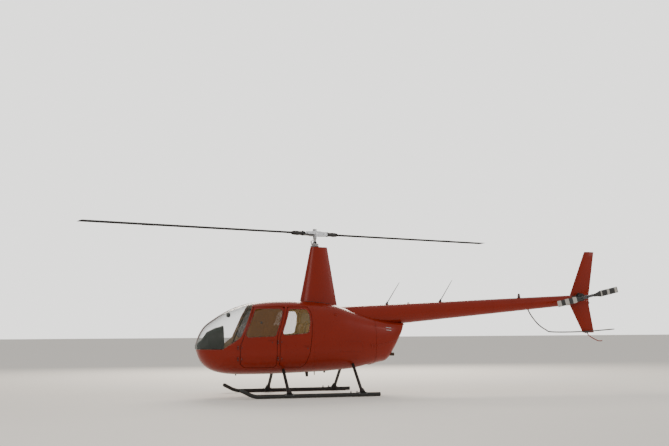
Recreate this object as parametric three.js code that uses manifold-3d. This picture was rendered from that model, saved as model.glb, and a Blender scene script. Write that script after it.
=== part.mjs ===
// Light four-seat helicopter with a two-blade teetering rotor, parked on its skids.
// Millimetres, +X aft, +Y to the pilot's right, +Z up, ground at z = 0.
// Places along the aircraft are measured from the mast's axis. MAST_X then shifts the
// whole aircraft so that the middle of its overall box is at x = 0.
import * as THREE from "three";
import { mergeVertices } from "three/addons/utils/BufferGeometryUtils.js";
import Module from "manifold-3d";

const wasm = await Module();
wasm.setup();

const FIT = 0.3; // gap where two pieces touch
const DOOR_GAP = 8; // gap round each door
const LAP = 10; // how far one bar of a piece runs into the next

// Main rotor
const ROTOR_RADIUS = 5029;
const BLADE_CHORD = 254;
const BLADE_THICKNESS = 31;
const ROTOR_AZIMUTH = 24.5; // degrees from the aircraft's axis
const TEETER_TILT = 1.08; // degrees, aft blade high
const TEETER_Z = 3180;
const HUB_TOP_Z = 3277;
const MAST_RADIUS = 28;

// Tail rotor, on the left
const TAIL_ROTOR = { x: 5893, y: -338, z: 1923, radius: 737, chord: 130, lift: 12.65 };

// Landing gear
const SKID = { half: 1060, radius: 37, z: 42, rear: 990, toe: -1675 };
const CROSS_TUBE_RADIUS = 25;

// Body
const SKIN = 28; // wall of doors, roof and lower shell
const GLASS = 6;
const SILL_Z = 1090; // roof and pillars above, lower shell below
const FLOOR_Z = 550;
const BULKHEAD = { front: -175, rear: -155 };
const COWL_JOINT_X = 1150;
const GUARD_END_X = 6700;

const radians = THREE.MathUtils.degToRad;
const FRONT_REACH =
  ROTOR_RADIUS * Math.cos(radians(ROTOR_AZIMUTH)) +
  (BLADE_CHORD / 2) * Math.sin(radians(ROTOR_AZIMUTH));
const MAST_X = (FRONT_REACH - GUARD_END_X) / 2;

// Body sections from nose to tail: place, belly, top, half width, height of the widest
// line, and the roundness of the upper and the lower half (2 is an ellipse).
const SECTIONS = [
  // x, belly, top, half, widest, upper, lower
  [-2377, 930, 974, 24, 952, 2.0, 2.0],
  [-2355, 864, 1050, 108, 950, 2.0, 2.0],
  [-2300, 718, 1197, 226, 942, 2.1, 2.1],
  [-2200, 588, 1346, 345, 935, 2.2, 2.3],
  [-2050, 495, 1462, 440, 935, 2.3, 2.6],
  [-1850, 441, 1588, 522, 945, 2.5, 2.9],
  [-1600, 419, 1706, 585, 960, 2.6, 3.1],
  [-1300, 415, 1790, 625, 980, 2.7, 3.2],
  [-950, 417, 1833, 638, 995, 2.8, 3.2],
  [-600, 424, 1842, 638, 1005, 2.8, 3.2],
  [-250, 435, 1824, 632, 1010, 2.8, 3.1],
  [100, 447, 1795, 605, 1012, 2.8, 3.0],
  [400, 460, 1745, 560, 1010, 2.8, 2.9],
  [700, 482, 1640, 500, 1005, 2.8, 2.8],
  [1000, 537, 1540, 432, 1010, 2.8, 2.7],
  [1250, 600, 1478, 368, 1035, 2.8, 2.6],
  [1448, 655, 1440, 308, 1080, 2.8, 2.5],
  [1592, 845, 1418, 262, 1150, 2.7, 2.4],
  [1703, 1060, 1405, 232, 1235, 2.6, 2.3],
  [1765, 1215, 1398, 212, 1310, 2.5, 2.2],
  [1785, 1376, 1394, 195, 1385, 2.4, 2.1],
];
const HULL_SIDES = 26;
const FINE_ROWS = 6; // the nose has a ring at every half row
const HOLLOW_END_ROW = 18; // the hollow stops short of the closed tail end

// Side outlines of the panels, as x, z
const WINDSHIELD = [
  [-2600, 898],
  [-1915, 898],
  [-1800, 975],
  [-1680, 1050],
  [-1578, 1135],
  [-1480, 1360],
  [-1399, 1565],
  [-1320, 1745],
  [-1245, 1950],
  [-2600, 1950],
];
const FRONT_DOOR = [
  [-1315, 1705],
  [-715, 1705],
  [-895, 1100],
  [-895, 600],
  [-950, 545],
  [-1500, 545],
  [-1590, 620],
  [-1600, 950],
  [-1545, 1095],
];
const REAR_DOOR = [
  [-665, 1705],
  [-265, 1705],
  [-212, 1600],
  [-200, 1400],
  [-215, 1100],
  [-255, 800],
  [-330, 610],
  [-410, 545],
  [-790, 545],
  [-845, 600],
  [-845, 1100],
];
const FRONT_WINDOW = [
  [-1282, 1662],
  [-752, 1662],
  [-930, 1140],
  [-1514, 1122],
];
const REAR_WINDOW = [
  [-632, 1655],
  [-300, 1650],
  [-252, 1560],
  [-248, 1400],
  [-285, 1200],
  [-805, 1148],
];
// Door hinges: place along the body, lower and upper hinge heights
const FRONT_HINGE = { x: -1606, stand: 12, heights: [720, 930] };
const REAR_HINGE = { x: -851, stand: 12, heights: [720, 1030] };
const KNUCKLE = { radius: 9, height: 20, thickness: 7, foot: 24, leaf: 46, sunk: 12 };

// Solids

function solidOf(geometry) {
  const loose = geometry.index ? geometry.toNonIndexed() : geometry;
  const bare = new THREE.BufferGeometry();
  bare.setAttribute("position", loose.getAttribute("position"));
  const merged = mergeVertices(bare, 1e-3);
  const vertProperties = merged.attributes.position.array;
  const triVerts = new Uint32Array(merged.index.array);
  const solid = new wasm.Manifold(new wasm.Mesh({ numProp: 3, vertProperties, triVerts }));
  if (solid.volume() > 0) return solid;
  return new wasm.Manifold(
    new wasm.Mesh({ numProp: 3, vertProperties, triVerts: triVerts.reverse() }),
  );
}

function geometryOf(solid) {
  const mesh = solid.getMesh();
  const geometry = new THREE.BufferGeometry();
  geometry.setAttribute("position", new THREE.Float32BufferAttribute(mesh.vertProperties, 3));
  geometry.setIndex(Array.from(mesh.triVerts));
  geometry.computeVertexNormals();
  return geometry;
}

// A closed solid through rings of equally many points, with a fan over each end.
function loft(rings) {
  const sides = rings[0].length;
  const points = rings.flat();
  const last = rings.length - 1;
  const middle = (ring) => ring.reduce((sum, p) => sum.add(p), new THREE.Vector3()).divideScalar(sides);
  points.push(middle(rings[0]), middle(rings[last]));
  const faces = [];
  for (let j = 0; j < sides; j++) {
    const k = (j + 1) % sides;
    for (let i = 0; i < last; i++) {
      const [a, b] = [i * sides + j, i * sides + k];
      faces.push(a, b, b + sides, a, b + sides, a + sides);
    }
    faces.push(k, j, points.length - 2);
    faces.push(last * sides + j, last * sides + k, points.length - 1);
  }
  const geometry = new THREE.BufferGeometry().setFromPoints(points);
  geometry.setIndex(faces);
  return solidOf(geometry);
}

// A side outline carried across the aircraft from y = low to y = high.
function prism(outline, low, high) {
  const shape = new THREE.Shape(outline.map(([x, z]) => new THREE.Vector2(x, z)));
  const geometry = new THREE.ExtrudeGeometry(shape, { depth: high - low, bevelEnabled: false });
  return solidOf(geometry.rotateX(Math.PI / 2).translate(0, high, 0));
}

function box(x0, x1, y0, y1, z0, z1) {
  const geometry = new THREE.BoxGeometry(x1 - x0, y1 - y0, z1 - z0);
  return solidOf(geometry.translate((x0 + x1) / 2, (y0 + y1) / 2, (z0 + z1) / 2));
}

// A straight round bar from one point to another, tapered where two radii are given.
function rod(from, to, radius, endRadius = radius, sides = 16) {
  const start = new THREE.Vector3(...from);
  const end = new THREE.Vector3(...to);
  const along = end.clone().sub(start);
  const geometry = new THREE.CylinderGeometry(endRadius, radius, along.length(), sides);
  const turn = new THREE.Quaternion().setFromUnitVectors(
    new THREE.Vector3(0, 1, 0),
    along.clone().normalize(),
  );
  const centre = start.add(end).divideScalar(2);
  return solidOf(geometry.applyQuaternion(turn).translate(centre.x, centre.y, centre.z));
}

// A round bar through the points.
function bar(points, radius, sides = 12) {
  const curve = new THREE.CatmullRomCurve3(points.map((p) => new THREE.Vector3(...p)));
  curve.getUtoTmapping = (u) => u;
  const circle = Array.from({ length: sides }, (_, i) => {
    const angle = (2 * Math.PI * i) / sides;
    return new THREE.Vector2(radius * Math.cos(angle), radius * Math.sin(angle));
  });
  const options = { steps: points.length - 1, extrudePath: curve, bevelEnabled: false };
  return solidOf(new THREE.ExtrudeGeometry(new THREE.Shape(circle), options));
}

// Outline of an aerofoil as [along the chord, across it], round nose first.
function aerofoil(chord, thickness, samples = 8) {
  const half = (s) =>
    5 * thickness *
    (0.2969 * Math.sqrt(s) - 0.126 * s - 0.3516 * s ** 2 + 0.2843 * s ** 3 - 0.1036 * s ** 4);
  const upper = [];
  const lower = [];
  for (let i = 0; i <= samples; i++) {
    const s = (1 - Math.cos((Math.PI * i) / samples)) / 2;
    upper.push([chord * s, half(s)]);
    if (i > 0 && i < samples) lower.unshift([chord * s, -half(s)]);
  }
  return [...upper, ...lower];
}

// Outlines

// Moves each side of an outline inwards by the distance.
function inset(outline, distance) {
  const area = outline.reduce((sum, [x, z], i) => {
    const [u, w] = outline[(i + 1) % outline.length];
    return sum + x * w - u * z;
  }, 0);
  const inward = Math.sign(area) * distance;
  const lines = outline.map(([x, z], i) => {
    const [u, w] = outline[(i + 1) % outline.length];
    const length = Math.hypot(u - x, w - z);
    const [dx, dz] = [(u - x) / length, (w - z) / length];
    return { x: x - dz * inward, z: z + dx * inward, dx, dz };
  });
  return lines.map((b, i) => {
    const a = lines[(i + lines.length - 1) % lines.length];
    const cross = a.dx * b.dz - a.dz * b.dx;
    const t = ((b.x - a.x) * b.dz - (b.z - a.z) * b.dx) / cross;
    return [a.x + a.dx * t, a.z + a.dz * t];
  });
}

// Rounds each corner of an outline with a short curve.
function rounded(outline, radius, pieces = 3) {
  return outline.flatMap(([x, z], i) => {
    const toward = ([u, w]) => {
      const length = Math.hypot(u - x, w - z);
      const cut = Math.min(radius, length / 2.5);
      return [x + ((u - x) / length) * cut, z + ((w - z) / length) * cut];
    };
    const start = toward(outline[(i + outline.length - 1) % outline.length]);
    const end = toward(outline[(i + 1) % outline.length]);
    return Array.from({ length: pieces + 1 }, (_, k) => {
      const t = k / pieces;
      const mix = (a, b, c) => (1 - t) ** 2 * a + 2 * t * (1 - t) * b + t ** 2 * c;
      return [mix(start[0], x, end[0]), mix(start[1], z, end[1])];
    });
  });
}

// Body

// A section at a fractional row of the table, on a smooth curve through the rows.
function sectionAtRow(row) {
  const pick = (i) => SECTIONS[THREE.MathUtils.clamp(i, 0, SECTIONS.length - 1)];
  const i = Math.min(Math.floor(row), SECTIONS.length - 2);
  const t = row - i;
  const [a, b, c, d] = [pick(i - 1), pick(i), pick(i + 1), pick(i + 2)];
  const [x, belly, top, half, widest, upper, lower] = b.map((_, k) => {
    const bend = 2 * a[k] - 5 * b[k] + 4 * c[k] - d[k];
    const twist = 3 * b[k] - a[k] - 3 * c[k] + d[k];
    return b[k] + 0.5 * ((c[k] - a[k]) * t + bend * t ** 2 + twist * t ** 3);
  });
  return { x, belly, top, half, widest, upper, lower };
}

function sectionAt(x) {
  let [low, high] = [0, SECTIONS.length - 1];
  for (let i = 0; i < 40; i++) {
    const middle = (low + high) / 2;
    if (sectionAtRow(middle).x < x) low = middle;
    else high = middle;
  }
  return sectionAtRow(low);
}

// Half width of the body at a place and a height.
function halfWidth(x, z) {
  const s = sectionAt(x);
  const above = z > s.widest;
  const share = above ? (z - s.widest) / (s.top - s.widest) : (s.widest - z) / (s.widest - s.belly);
  const power = above ? s.upper : s.lower;
  return s.half * Math.max(0, 1 - share ** power) ** (1 / power);
}

function hullRing(s) {
  return Array.from({ length: HULL_SIDES }, (_, i) => {
    const angle = (2 * Math.PI * i) / HULL_SIDES;
    const [c, q] = [Math.cos(angle), Math.sin(angle)];
    const power = q >= 0 ? s.upper : s.lower;
    const height = q >= 0 ? s.top - s.widest : s.widest - s.belly;
    const y = s.half * Math.sign(c) * Math.abs(c) ** (2 / power);
    const z = s.widest + height * Math.sign(q) * Math.abs(q) ** (2 / power);
    return new THREE.Vector3(s.x, y, z);
  });
}

function hullRings(lastRow) {
  const rings = [];
  for (let row = 0; row <= lastRow; row += row < FINE_ROWS ? 0.5 : 1) rings.push(hullRing(sectionAtRow(row)));
  return rings;
}

// The rings moved inwards by the wall's thickness.
function shrunk(rings, wall) {
  return rings.map((ring, i) => {
    const before = rings[Math.max(i - 1, 0)];
    const after = rings[Math.min(i + 1, rings.length - 1)];
    return ring.map((point, j) => {
      const along = after[j].clone().sub(before[j]);
      const round = ring[(j + 1) % ring.length].clone().sub(ring.at(j - 1));
      const outward = round.cross(along).normalize();
      return point.clone().addScaledVector(outward, -wall);
    });
  });
}

const hull = loft(hullRings(SECTIONS.length - 1));
const shell = hull.subtract(loft(shrunk(hullRings(HOLLOW_END_ROW), SKIN)));
const glassShell = hull.subtract(loft(shrunk(hullRings(HOLLOW_END_ROW), GLASS)));
const grownHull = loft(shrunk(hullRings(SECTIONS.length - 1), -FIT));

const WIDE = 1500; // past the body on either side
const FAR = 3000; // past the body in front and above
const DOOR_DEPTH = 250; // the door openings reach in to here
const acrossBody = (outline) => prism(outline, -WIDE, WIDE);
const onSide = (outline, side) =>
  side < 0 ? prism(outline, -WIDE, -DOOR_DEPTH) : prism(outline, DOOR_DEPTH, WIDE);

// Scene graph

const helicopter = new THREE.Group();
const aircraft = new THREE.Group();
aircraft.position.x = MAST_X;
helicopter.add(aircraft);

const FINISH = {
  // colour, roughness, metalness
  red: [0xa8200c, 0.3, 0.1],
  black: [0x15130f, 0.5, 0.2],
  charcoal: [0x26282b, 0.45, 0.3],
  steel: [0x9a9c9e, 0.35, 0.9],
  engine: [0x50504e, 0.6, 0.6],
  glass: [0xbfc9c4, 0.05, 0.0],
  trim: [0x2e2c2a, 0.8, 0.0],
  leather: [0x5b3f2a, 0.7, 0.0],
};

function add(name, solid, finish, parent = aircraft) {
  const [color, roughness, metalness] = FINISH[finish];
  const material = new THREE.MeshStandardMaterial({ color, roughness, metalness });
  const mesh = new THREE.Mesh(geometryOf(solid), material);
  mesh.name = name;
  parent.add(mesh);
  return mesh;
}

// Tailcone

const CONE = {
  front: 460,
  rear: 5660,
  frontRadius: 235,
  rearRadius: 104,
  frontZ: 1483,
  rearZ: 1862,
  wall: 8,
  sides: 28,
};

function coneAt(x) {
  const t = (x - CONE.front) / (CONE.rear - CONE.front);
  return {
    radius: THREE.MathUtils.lerp(CONE.frontRadius, CONE.rearRadius, t),
    z: THREE.MathUtils.lerp(CONE.frontZ, CONE.rearZ, t),
  };
}

function coneSolid(front, rear, grow) {
  const places = [front, rear];
  return loft(
    places.map((x) => {
      const { radius, z } = coneAt(x);
      const r = radius + grow;
      return Array.from({ length: CONE.sides }, (_, i) => {
        const angle = (2 * Math.PI * i) / CONE.sides;
        return new THREE.Vector3(x, r * Math.cos(angle), z + r * Math.sin(angle));
      });
    }),
  );
}

const cone = coneSolid(CONE.front, CONE.rear, 0);
const grownCone = coneSolid(CONE.front - FIT, CONE.rear + FIT, FIT);
add("tailcone", cone.subtract(coneSolid(CONE.front - LAP, CONE.rear - CONE.wall, -CONE.wall)), "red");

// Landing gear

const skidPath = (side) => {
  const y = side * SKID.half;
  return [
    [SKID.rear, y, SKID.z],
    [-200, y, SKID.z],
    [-1290, y, SKID.z],
    [-1380, y, SKID.z + 3],
    [-1470, y, SKID.z + 28],
    [-1560, y, SKID.z + 72],
    [SKID.toe, y, SKID.z + 130],
  ];
};
const SHOE = { front: -1250, rear: 900, half: 17, top: 14 };
const STUD = { x: 423, radius: 11, top: 112 };

for (const [name, side] of [["left", -1], ["right", 1]]) {
  const y = side * SKID.half;
  const shoe = box(SHOE.front, SHOE.rear, y - SHOE.half, y + SHOE.half, 0, SHOE.top);
  const stud = rod([STUD.x, y, SKID.z], [STUD.x, y, STUD.top], STUD.radius, STUD.radius, 10);
  add(`skid_${name}`, bar(skidPath(side), SKID.radius).add(shoe).add(stud), "black");
}

// Cross tubes: place, and height across the body. A straight leg leads from each skid to the
// height across, where a bend of a few short pieces turns it level.
const CROSS_TUBES = {
  front: { x: -755, across: 515 },
  rear: { x: 656, across: 602 },
};
const LEG_SLOPE = 1.21; // outwards for each unit down
const LEG_BEND = { below: 40, inner: 62, pieces: 4 };
const LEG_COVER = { halfChord: 31, halfThickness: 28, low: 45, high: 32, sides: 14 };

const legOut = (z) => SKID.half - LEG_SLOPE * (z - SKID.z); // distance out of a leg at a height

function legPath({ x, across }, side) {
  const bend = Array.from({ length: LEG_BEND.pieces + 1 }, (_, i) => {
    const t = i / LEG_BEND.pieces;
    const below = LEG_BEND.below * (1 - t) ** 2;
    return [x, side * (legOut(across - below) - LEG_BEND.inner * t ** 2), across - below];
  });
  return [[x, side * SKID.half, SKID.z], ...bend];
}

const crossTube = (place, grow = 0) =>
  bar([...legPath(place, -1), ...legPath(place, 1).reverse()], CROSS_TUBE_RADIUS + grow);

// The streamlined cover on each leg, below the belly
function legCover({ x, across }, side) {
  const [low, high] = [SKID.z + LEG_COVER.low, across - LEG_COVER.high];
  const [bottom, top] = [low, high].map((z) => new THREE.Vector3(x, side * legOut(z), z));
  const along = bottom.clone().sub(top).normalize();
  const thickWay = along.clone().cross(new THREE.Vector3(1, 0, 0));
  const ring = (centre) =>
    Array.from({ length: LEG_COVER.sides }, (_, i) => {
      const angle = (2 * Math.PI * i) / LEG_COVER.sides;
      return centre
        .clone()
        .add(new THREE.Vector3(LEG_COVER.halfChord * Math.cos(angle), 0, 0))
        .addScaledVector(thickWay, LEG_COVER.halfThickness * Math.sin(angle));
    });
  return loft([ring(top), ring(bottom)]);
}

const grownSkids = [-1, 1].map((side) => bar(skidPath(side), SKID.radius + FIT));
for (const [name, place] of Object.entries(CROSS_TUBES)) {
  const tube = crossTube(place).add(legCover(place, -1)).add(legCover(place, 1));
  add(`cross_tube_${name}`, tube.subtract(grownSkids[0]).subtract(grownSkids[1]), "black");
}
const tubeWay = (place) => crossTube(place, FIT);

// Cabin

const cabinSpace = box(-FAR, BULKHEAD.front, -WIDE, WIDE, 0, FAR);
const windshieldSpace = acrossBody(WINDSHIELD);
const doorSpaces = [-1, 1].flatMap((side) => [onSide(FRONT_DOOR, side), onSide(REAR_DOOR, side)]);
const withoutDoors = (solid) => doorSpaces.reduce((left, space) => left.subtract(space), solid);

// A hinge knuckle with its leaf; the leaf runs into the panel it carries.
function knuckle(hinge, side, z, leafWay) {
  const y = side * (sectionAt(hinge.x).half + hinge.stand);
  const [low, high] = [z - KNUCKLE.height / 2 + FIT / 2, z + KNUCKLE.height / 2 - FIT / 2];
  const pin = rod([hinge.x, y, low], [hinge.x, y, high], KNUCKLE.radius, KNUCKLE.radius, 12);
  const [foot, end] = [KNUCKLE.foot, KNUCKLE.leaf].map((reach) => hinge.x + leafWay * reach);
  const inner = side * (halfWidth(end, z) - KNUCKLE.sunk);
  const thick = (side * KNUCKLE.thickness) / 2;
  const block = (xa, xb, ya, yb) =>
    box(Math.min(xa, xb), Math.max(xa, xb), Math.min(ya, yb), Math.max(ya, yb), low, high);
  return pin.add(block(hinge.x, end, y - thick, y + thick)).add(block(foot, end, inner, y + thick));
}

// Fixed knuckles above and below each door's own knuckle.
function hingeLeaves(hinge, side, fixed) {
  return hinge.heights.flatMap((z) =>
    fixed
      ? [knuckle(hinge, side, z - KNUCKLE.height, -1), knuckle(hinge, side, z + KNUCKLE.height, -1)]
      : [knuckle(hinge, side, z, 1)],
  );
}

const floorSlab = hull.intersect(box(-FAR, BULKHEAD.front, -WIDE, WIDE, 0, FLOOR_Z));
let lowerShell = withoutDoors(shell.intersect(cabinSpace).subtract(windshieldSpace))
  .intersect(box(-FAR, 0, -WIDE, WIDE, 0, SILL_Z - FIT))
  .add(withoutDoors(floorSlab))
  .subtract(tubeWay(CROSS_TUBES.front));
for (const side of [-1, 1])
  for (const hinge of [FRONT_HINGE, REAR_HINGE])
    for (const leaf of hingeLeaves(hinge, side, true)) lowerShell = lowerShell.add(leaf);
add("cabin_shell", lowerShell, "red");

const STRIP_HALF = 14;
const STRIP_DEPTH = 20;
const WINDSHIELD_LOW = WINDSHIELD[0][1];
const stripOutline = box(-FAR, 0, -STRIP_HALF, STRIP_HALF, WINDSHIELD_LOW + FIT, FAR);
const centreStrip = glassShell
  .intersect(windshieldSpace)
  .intersect(stripOutline)
  .add(
    hull
      .subtract(loft(shrunk(hullRings(HOLLOW_END_ROW), STRIP_DEPTH)))
      .intersect(acrossBody(inset(WINDSHIELD, -1)))
      .intersect(stripOutline),
  );
const roof = withoutDoors(shell.intersect(cabinSpace).subtract(windshieldSpace))
  .intersect(box(-FAR, 0, -WIDE, WIDE, SILL_Z, FAR))
  .add(centreStrip);
add("roof_shell", roof, "red");

for (const [name, side] of [["left", -1], ["right", 1]]) {
  const half =
    side < 0
      ? box(-FAR, 0, -WIDE, -STRIP_HALF - FIT, 0, FAR)
      : box(-FAR, 0, STRIP_HALF + FIT, WIDE, 0, FAR);
  const pane = glassShell.intersect(acrossBody(inset(WINDSHIELD, FIT))).intersect(half);
  add(`windshield_${name}`, pane, "glass");
}

// A latch lever lying along the door's outside, on two short posts
const HANDLE = { length: 105, height: 18, stand: 16, thickness: 7, post: 12 };
const DOOR_CORNER = 40;
const WINDOW_CORNER = 55;
function doorHandle([x, z], side) {
  const outside = side * (halfWidth(x, z) + HANDLE.stand);
  const [low, high] = [z - HANDLE.height / 2, z + HANDLE.height / 2];
  const slab = (x0, x1, y) => box(x0, x1, Math.min(y, outside), Math.max(y, outside), low, high);
  const [front, rear] = [x - HANDLE.length / 2, x + HANDLE.length / 2];
  const foot = outside - side * (HANDLE.stand + SKIN / 2);
  return slab(front, rear, outside - side * HANDLE.thickness)
    .add(slab(front, front + HANDLE.post, foot))
    .add(slab(rear - HANDLE.post, rear, foot));
}

// Doors with their windows
const DOORS = [
  // name, outline, window, hinge, middle of the handle
  ["front", FRONT_DOOR, FRONT_WINDOW, FRONT_HINGE, [-1010, 1068]],
  ["rear", REAR_DOOR, REAR_WINDOW, REAR_HINGE, [-320, 945]],
];
for (const [sideName, side] of [["left", -1], ["right", 1]]) {
  for (const [place, outline, window, hinge, handle] of DOORS) {
    const hole = rounded(window, WINDOW_CORNER);
    let door = shell
      .intersect(onSide(rounded(inset(outline, DOOR_GAP), DOOR_CORNER, 2), side))
      .subtract(onSide(hole, side))
      .add(doorHandle(handle, side));
    for (const leaf of hingeLeaves(hinge, side, false)) door = door.add(leaf);
    add(`door_${place}_${sideName}`, door, "red");
    add(`window_${place}_${sideName}`, glassShell.intersect(onSide(inset(hole, FIT), side)), "glass");
  }
}

// Rear wall of the cabin, cut to the shell's inside
const cabinInside = loft(shrunk(hullRings(HOLLOW_END_ROW), SKIN + FIT));
const bulkhead = box(BULKHEAD.front + FIT, BULKHEAD.rear - FIT, -WIDE, WIDE, FLOOR_Z + FIT, FAR);
add("cabin_bulkhead", cabinInside.intersect(bulkhead), "trim");

// Seats

const PAD_CORNER = 35;
const SEAT_BOX_TOP = 745;
const SEAT_LOW = SEAT_BOX_TOP + FIT;
const BOX_LOW = FLOOR_Z + FIT;
const CUSHION = { low: 55, high: 520 };
// Side outlines; each back lies 0.3 mm in front of the panel or wall behind it
const FRONT_SEAT = {
  box: [
    [-1470, BOX_LOW],
    [-900, BOX_LOW],
    [-900, SEAT_BOX_TOP],
    [-775, 1345],
    [-795, 1350],
    [-922, SEAT_BOX_TOP],
    [-1450, SEAT_BOX_TOP],
  ],
  cushion: [[-1460, SEAT_LOW], [-935, SEAT_LOW], [-935, 830], [-1400, 852], [-1460, 835]],
  back: [[-1040, 848], [-902.8, 838], [-796.4, 1345], [-865, 1370], [-925, 1330]],
};
const REAR_SEAT = {
  box: [[-660, BOX_LOW], [-175, BOX_LOW], [-175, SEAT_BOX_TOP], [-640, SEAT_BOX_TOP]],
  cushion: [[-655, SEAT_LOW], [-190, SEAT_LOW], [-190, 830], [-600, 852], [-655, 835]],
  back: [[-330, 848], [-175, 838], [-175, 1400], [-230, 1430], [-285, 1390]],
};
const SEAT_BOX_HALF = 435;
for (const [row, seat] of [["front", FRONT_SEAT], ["rear", REAR_SEAT]]) {
  add(`seat_base_${row}`, prism(seat.box, -SEAT_BOX_HALF, SEAT_BOX_HALF), "trim");
  for (const [name, side] of [["left", -1], ["right", 1]]) {
    const [low, high] = side < 0 ? [-CUSHION.high, -CUSHION.low] : [CUSHION.low, CUSHION.high];
    add(`seat_cushion_${row}_${name}`, prism(rounded(seat.cushion, PAD_CORNER, 2), low, high), "leather");
    add(`seat_back_${row}_${name}`, prism(rounded(seat.back, PAD_CORNER, 2), low, high), "leather");
  }
}

// Instrument console and centre stick

const PEDESTAL = { front: -2060, rear: -1860, half: 110, top: 1000 };
const HOOD = [
  // x, low, high, half width
  [-2265, 1010, 1075, 120],
  [-2150, 985, 1235, 175],
  [-1995, 960, 1310, 205],
  [-1850, 940, 1346, 215],
];
const HOOD_FLAT = 0.7; // share of the hood's width that is flat on top
const hoodSolid = loft(
  HOOD.map(([x, low, high, half]) => {
    const shoulder = THREE.MathUtils.lerp(low, high, 0.75);
    const rightSide = [[1, low], [1, shoulder], [HOOD_FLAT, high]];
    const leftSide = rightSide.map(([share, z]) => [-share, z]).reverse();
    return [...rightSide, ...leftSide].map(([share, z]) => new THREE.Vector3(x, half * share, z));
  }),
);
const pedestal = box(
  PEDESTAL.front, PEDESTAL.rear, -PEDESTAL.half, PEDESTAL.half, FLOOR_Z + FIT, PEDESTAL.top,
);
add("console", hoodSolid.add(pedestal), "trim");

const aboveFloor = box(-FAR, 0, -WIDE, WIDE, FLOOR_Z + FIT, FAR);
const STICK = {
  foot: [-1602, 0, FLOOR_Z - 20],
  elbow: [-1560, 0, 1060],
  post: 16,
  neck: 13,
  bar: { half: 230, radius: 11 },
  grip: { above: 20, below: 110, rake: 25, top: 15, low: 17 },
};
const [stickX, , stickZ] = STICK.elbow;
let stick = rod(STICK.foot, STICK.elbow, STICK.post, STICK.neck, 10).add(
  bar([-1, 1].map((side) => [stickX, side * STICK.bar.half, stickZ]), STICK.bar.radius, 10),
);
for (const side of [-1, 1]) {
  const y = side * STICK.bar.half;
  const { above, below, rake, top, low } = STICK.grip;
  stick = stick.add(rod([stickX, y, stickZ + above], [stickX + rake, y, stickZ - below], top, low, 10));
}
add("cyclic_stick", stick.intersect(aboveFloor), "trim");

// Foot pedals: a pair on each side, joined by a bar along the floor
const PEDAL = {
  out: [165, 295],
  foot: [-1905, FLOOR_Z - 10],
  knee: [-1925, 650],
  top: [-1955, 742],
  radius: 9,
  bar: 566,
  plate: [[-1974, 712], [-1966, 710], [-1938, 798], [-1946, 800]],
  plateHalf: 34,
};
for (const [name, side] of [["left", -1], ["right", 1]]) {
  const [inner, outer] = PEDAL.out.map((y) => side * y);
  const [footX] = PEDAL.foot;
  let pedals = bar([inner, outer].map((y) => [footX, y, PEDAL.bar]), PEDAL.radius, 10);
  for (const y of [inner, outer]) {
    const arm = [PEDAL.foot, PEDAL.knee, PEDAL.top].map(([x, z]) => [x, y, z]);
    pedals = pedals
      .add(bar(arm, PEDAL.radius, 10))
      .add(prism(PEDAL.plate, y - PEDAL.plateHalf, y + PEDAL.plateHalf));
  }
  add(`foot_pedals_${name}`, pedals.intersect(aboveFloor), "trim");
}

// Lift levers: one between the front seats, one outboard of the left seat on its box
const LEVER = {
  pivot: [-985, 790],
  neck: [-1400, 950],
  end: [-1520, 1010],
  radius: 10.5,
  grip: 18,
  y: -540,
  bracket: 690,
};
const [leverX, leverZ] = LEVER.pivot;
function liftLever(y, low) {
  const [pivot, neck, end] = [LEVER.pivot, LEVER.neck, LEVER.end].map(([x, z]) => [x, y, z]);
  return bar([pivot, neck], LEVER.radius)
    .add(bar([neck, end], LEVER.grip))
    .add(bar([[leverX, y, low], [leverX, y, leverZ + LEVER.radius]], LEVER.radius));
}
const leverBracket = [LEVER.y - LEVER.radius, -SEAT_BOX_HALF - FIT].map((y) => [leverX, y, LEVER.bracket]);
add("lift_lever_middle", liftLever(0, SEAT_LOW), "trim");
add("lift_lever_left", liftLever(LEVER.y, LEVER.bracket).add(bar(leverBracket, LEVER.radius)), "trim");

// Compass, hung from the strip between the windshield panes
const COMPASS = { x: -1738, z: 1557, radius: 30, topRadius: 25, half: 34, stem: 6 };
const onCompass = (z) => [COMPASS.x, 0, z];
const compass = rod(
  onCompass(COMPASS.z - COMPASS.half),
  onCompass(COMPASS.z + COMPASS.half),
  COMPASS.radius,
  COMPASS.topRadius,
).add(rod(onCompass(COMPASS.z), onCompass(FAR), COMPASS.stem, COMPASS.stem, 10));
add("compass", compass.intersect(loft(shrunk(hullRings(HOLLOW_END_ROW), STRIP_DEPTH + FIT))), "trim");

// Engine bay

const ENGINE = { front: 150, rear: 850, half: 335, low: 640, high: 1010 };
const MOUNT = { out: 240, heights: [700, 950], radius: 16 };
let engine = box(ENGINE.front, ENGINE.rear, -ENGINE.half, ENGINE.half, ENGINE.low, ENGINE.high);
for (const y of [-MOUNT.out, MOUNT.out])
  for (const z of MOUNT.heights)
    engine = engine.add(bar([[BULKHEAD.rear, y, z], [ENGINE.front + LAP, y, z]], MOUNT.radius, 10));
add("engine_block", engine, "engine");

const PIPE = { x: 1340, y: -150, z: 772, radius: 32, end: 1590, endZ: 765 };
const MUFFLER = { z: 775, radius: 72, end: 1345 };
const tailpipe = (grow) => rod([PIPE.x, PIPE.y, PIPE.z], [PIPE.end, PIPE.y, PIPE.endZ], PIPE.radius + grow);
const muffler = rod([ENGINE.rear + FIT, PIPE.y, MUFFLER.z], [MUFFLER.end, PIPE.y, MUFFLER.z], MUFFLER.radius);
add("exhaust", muffler.add(tailpipe(0)), "engine");

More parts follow.
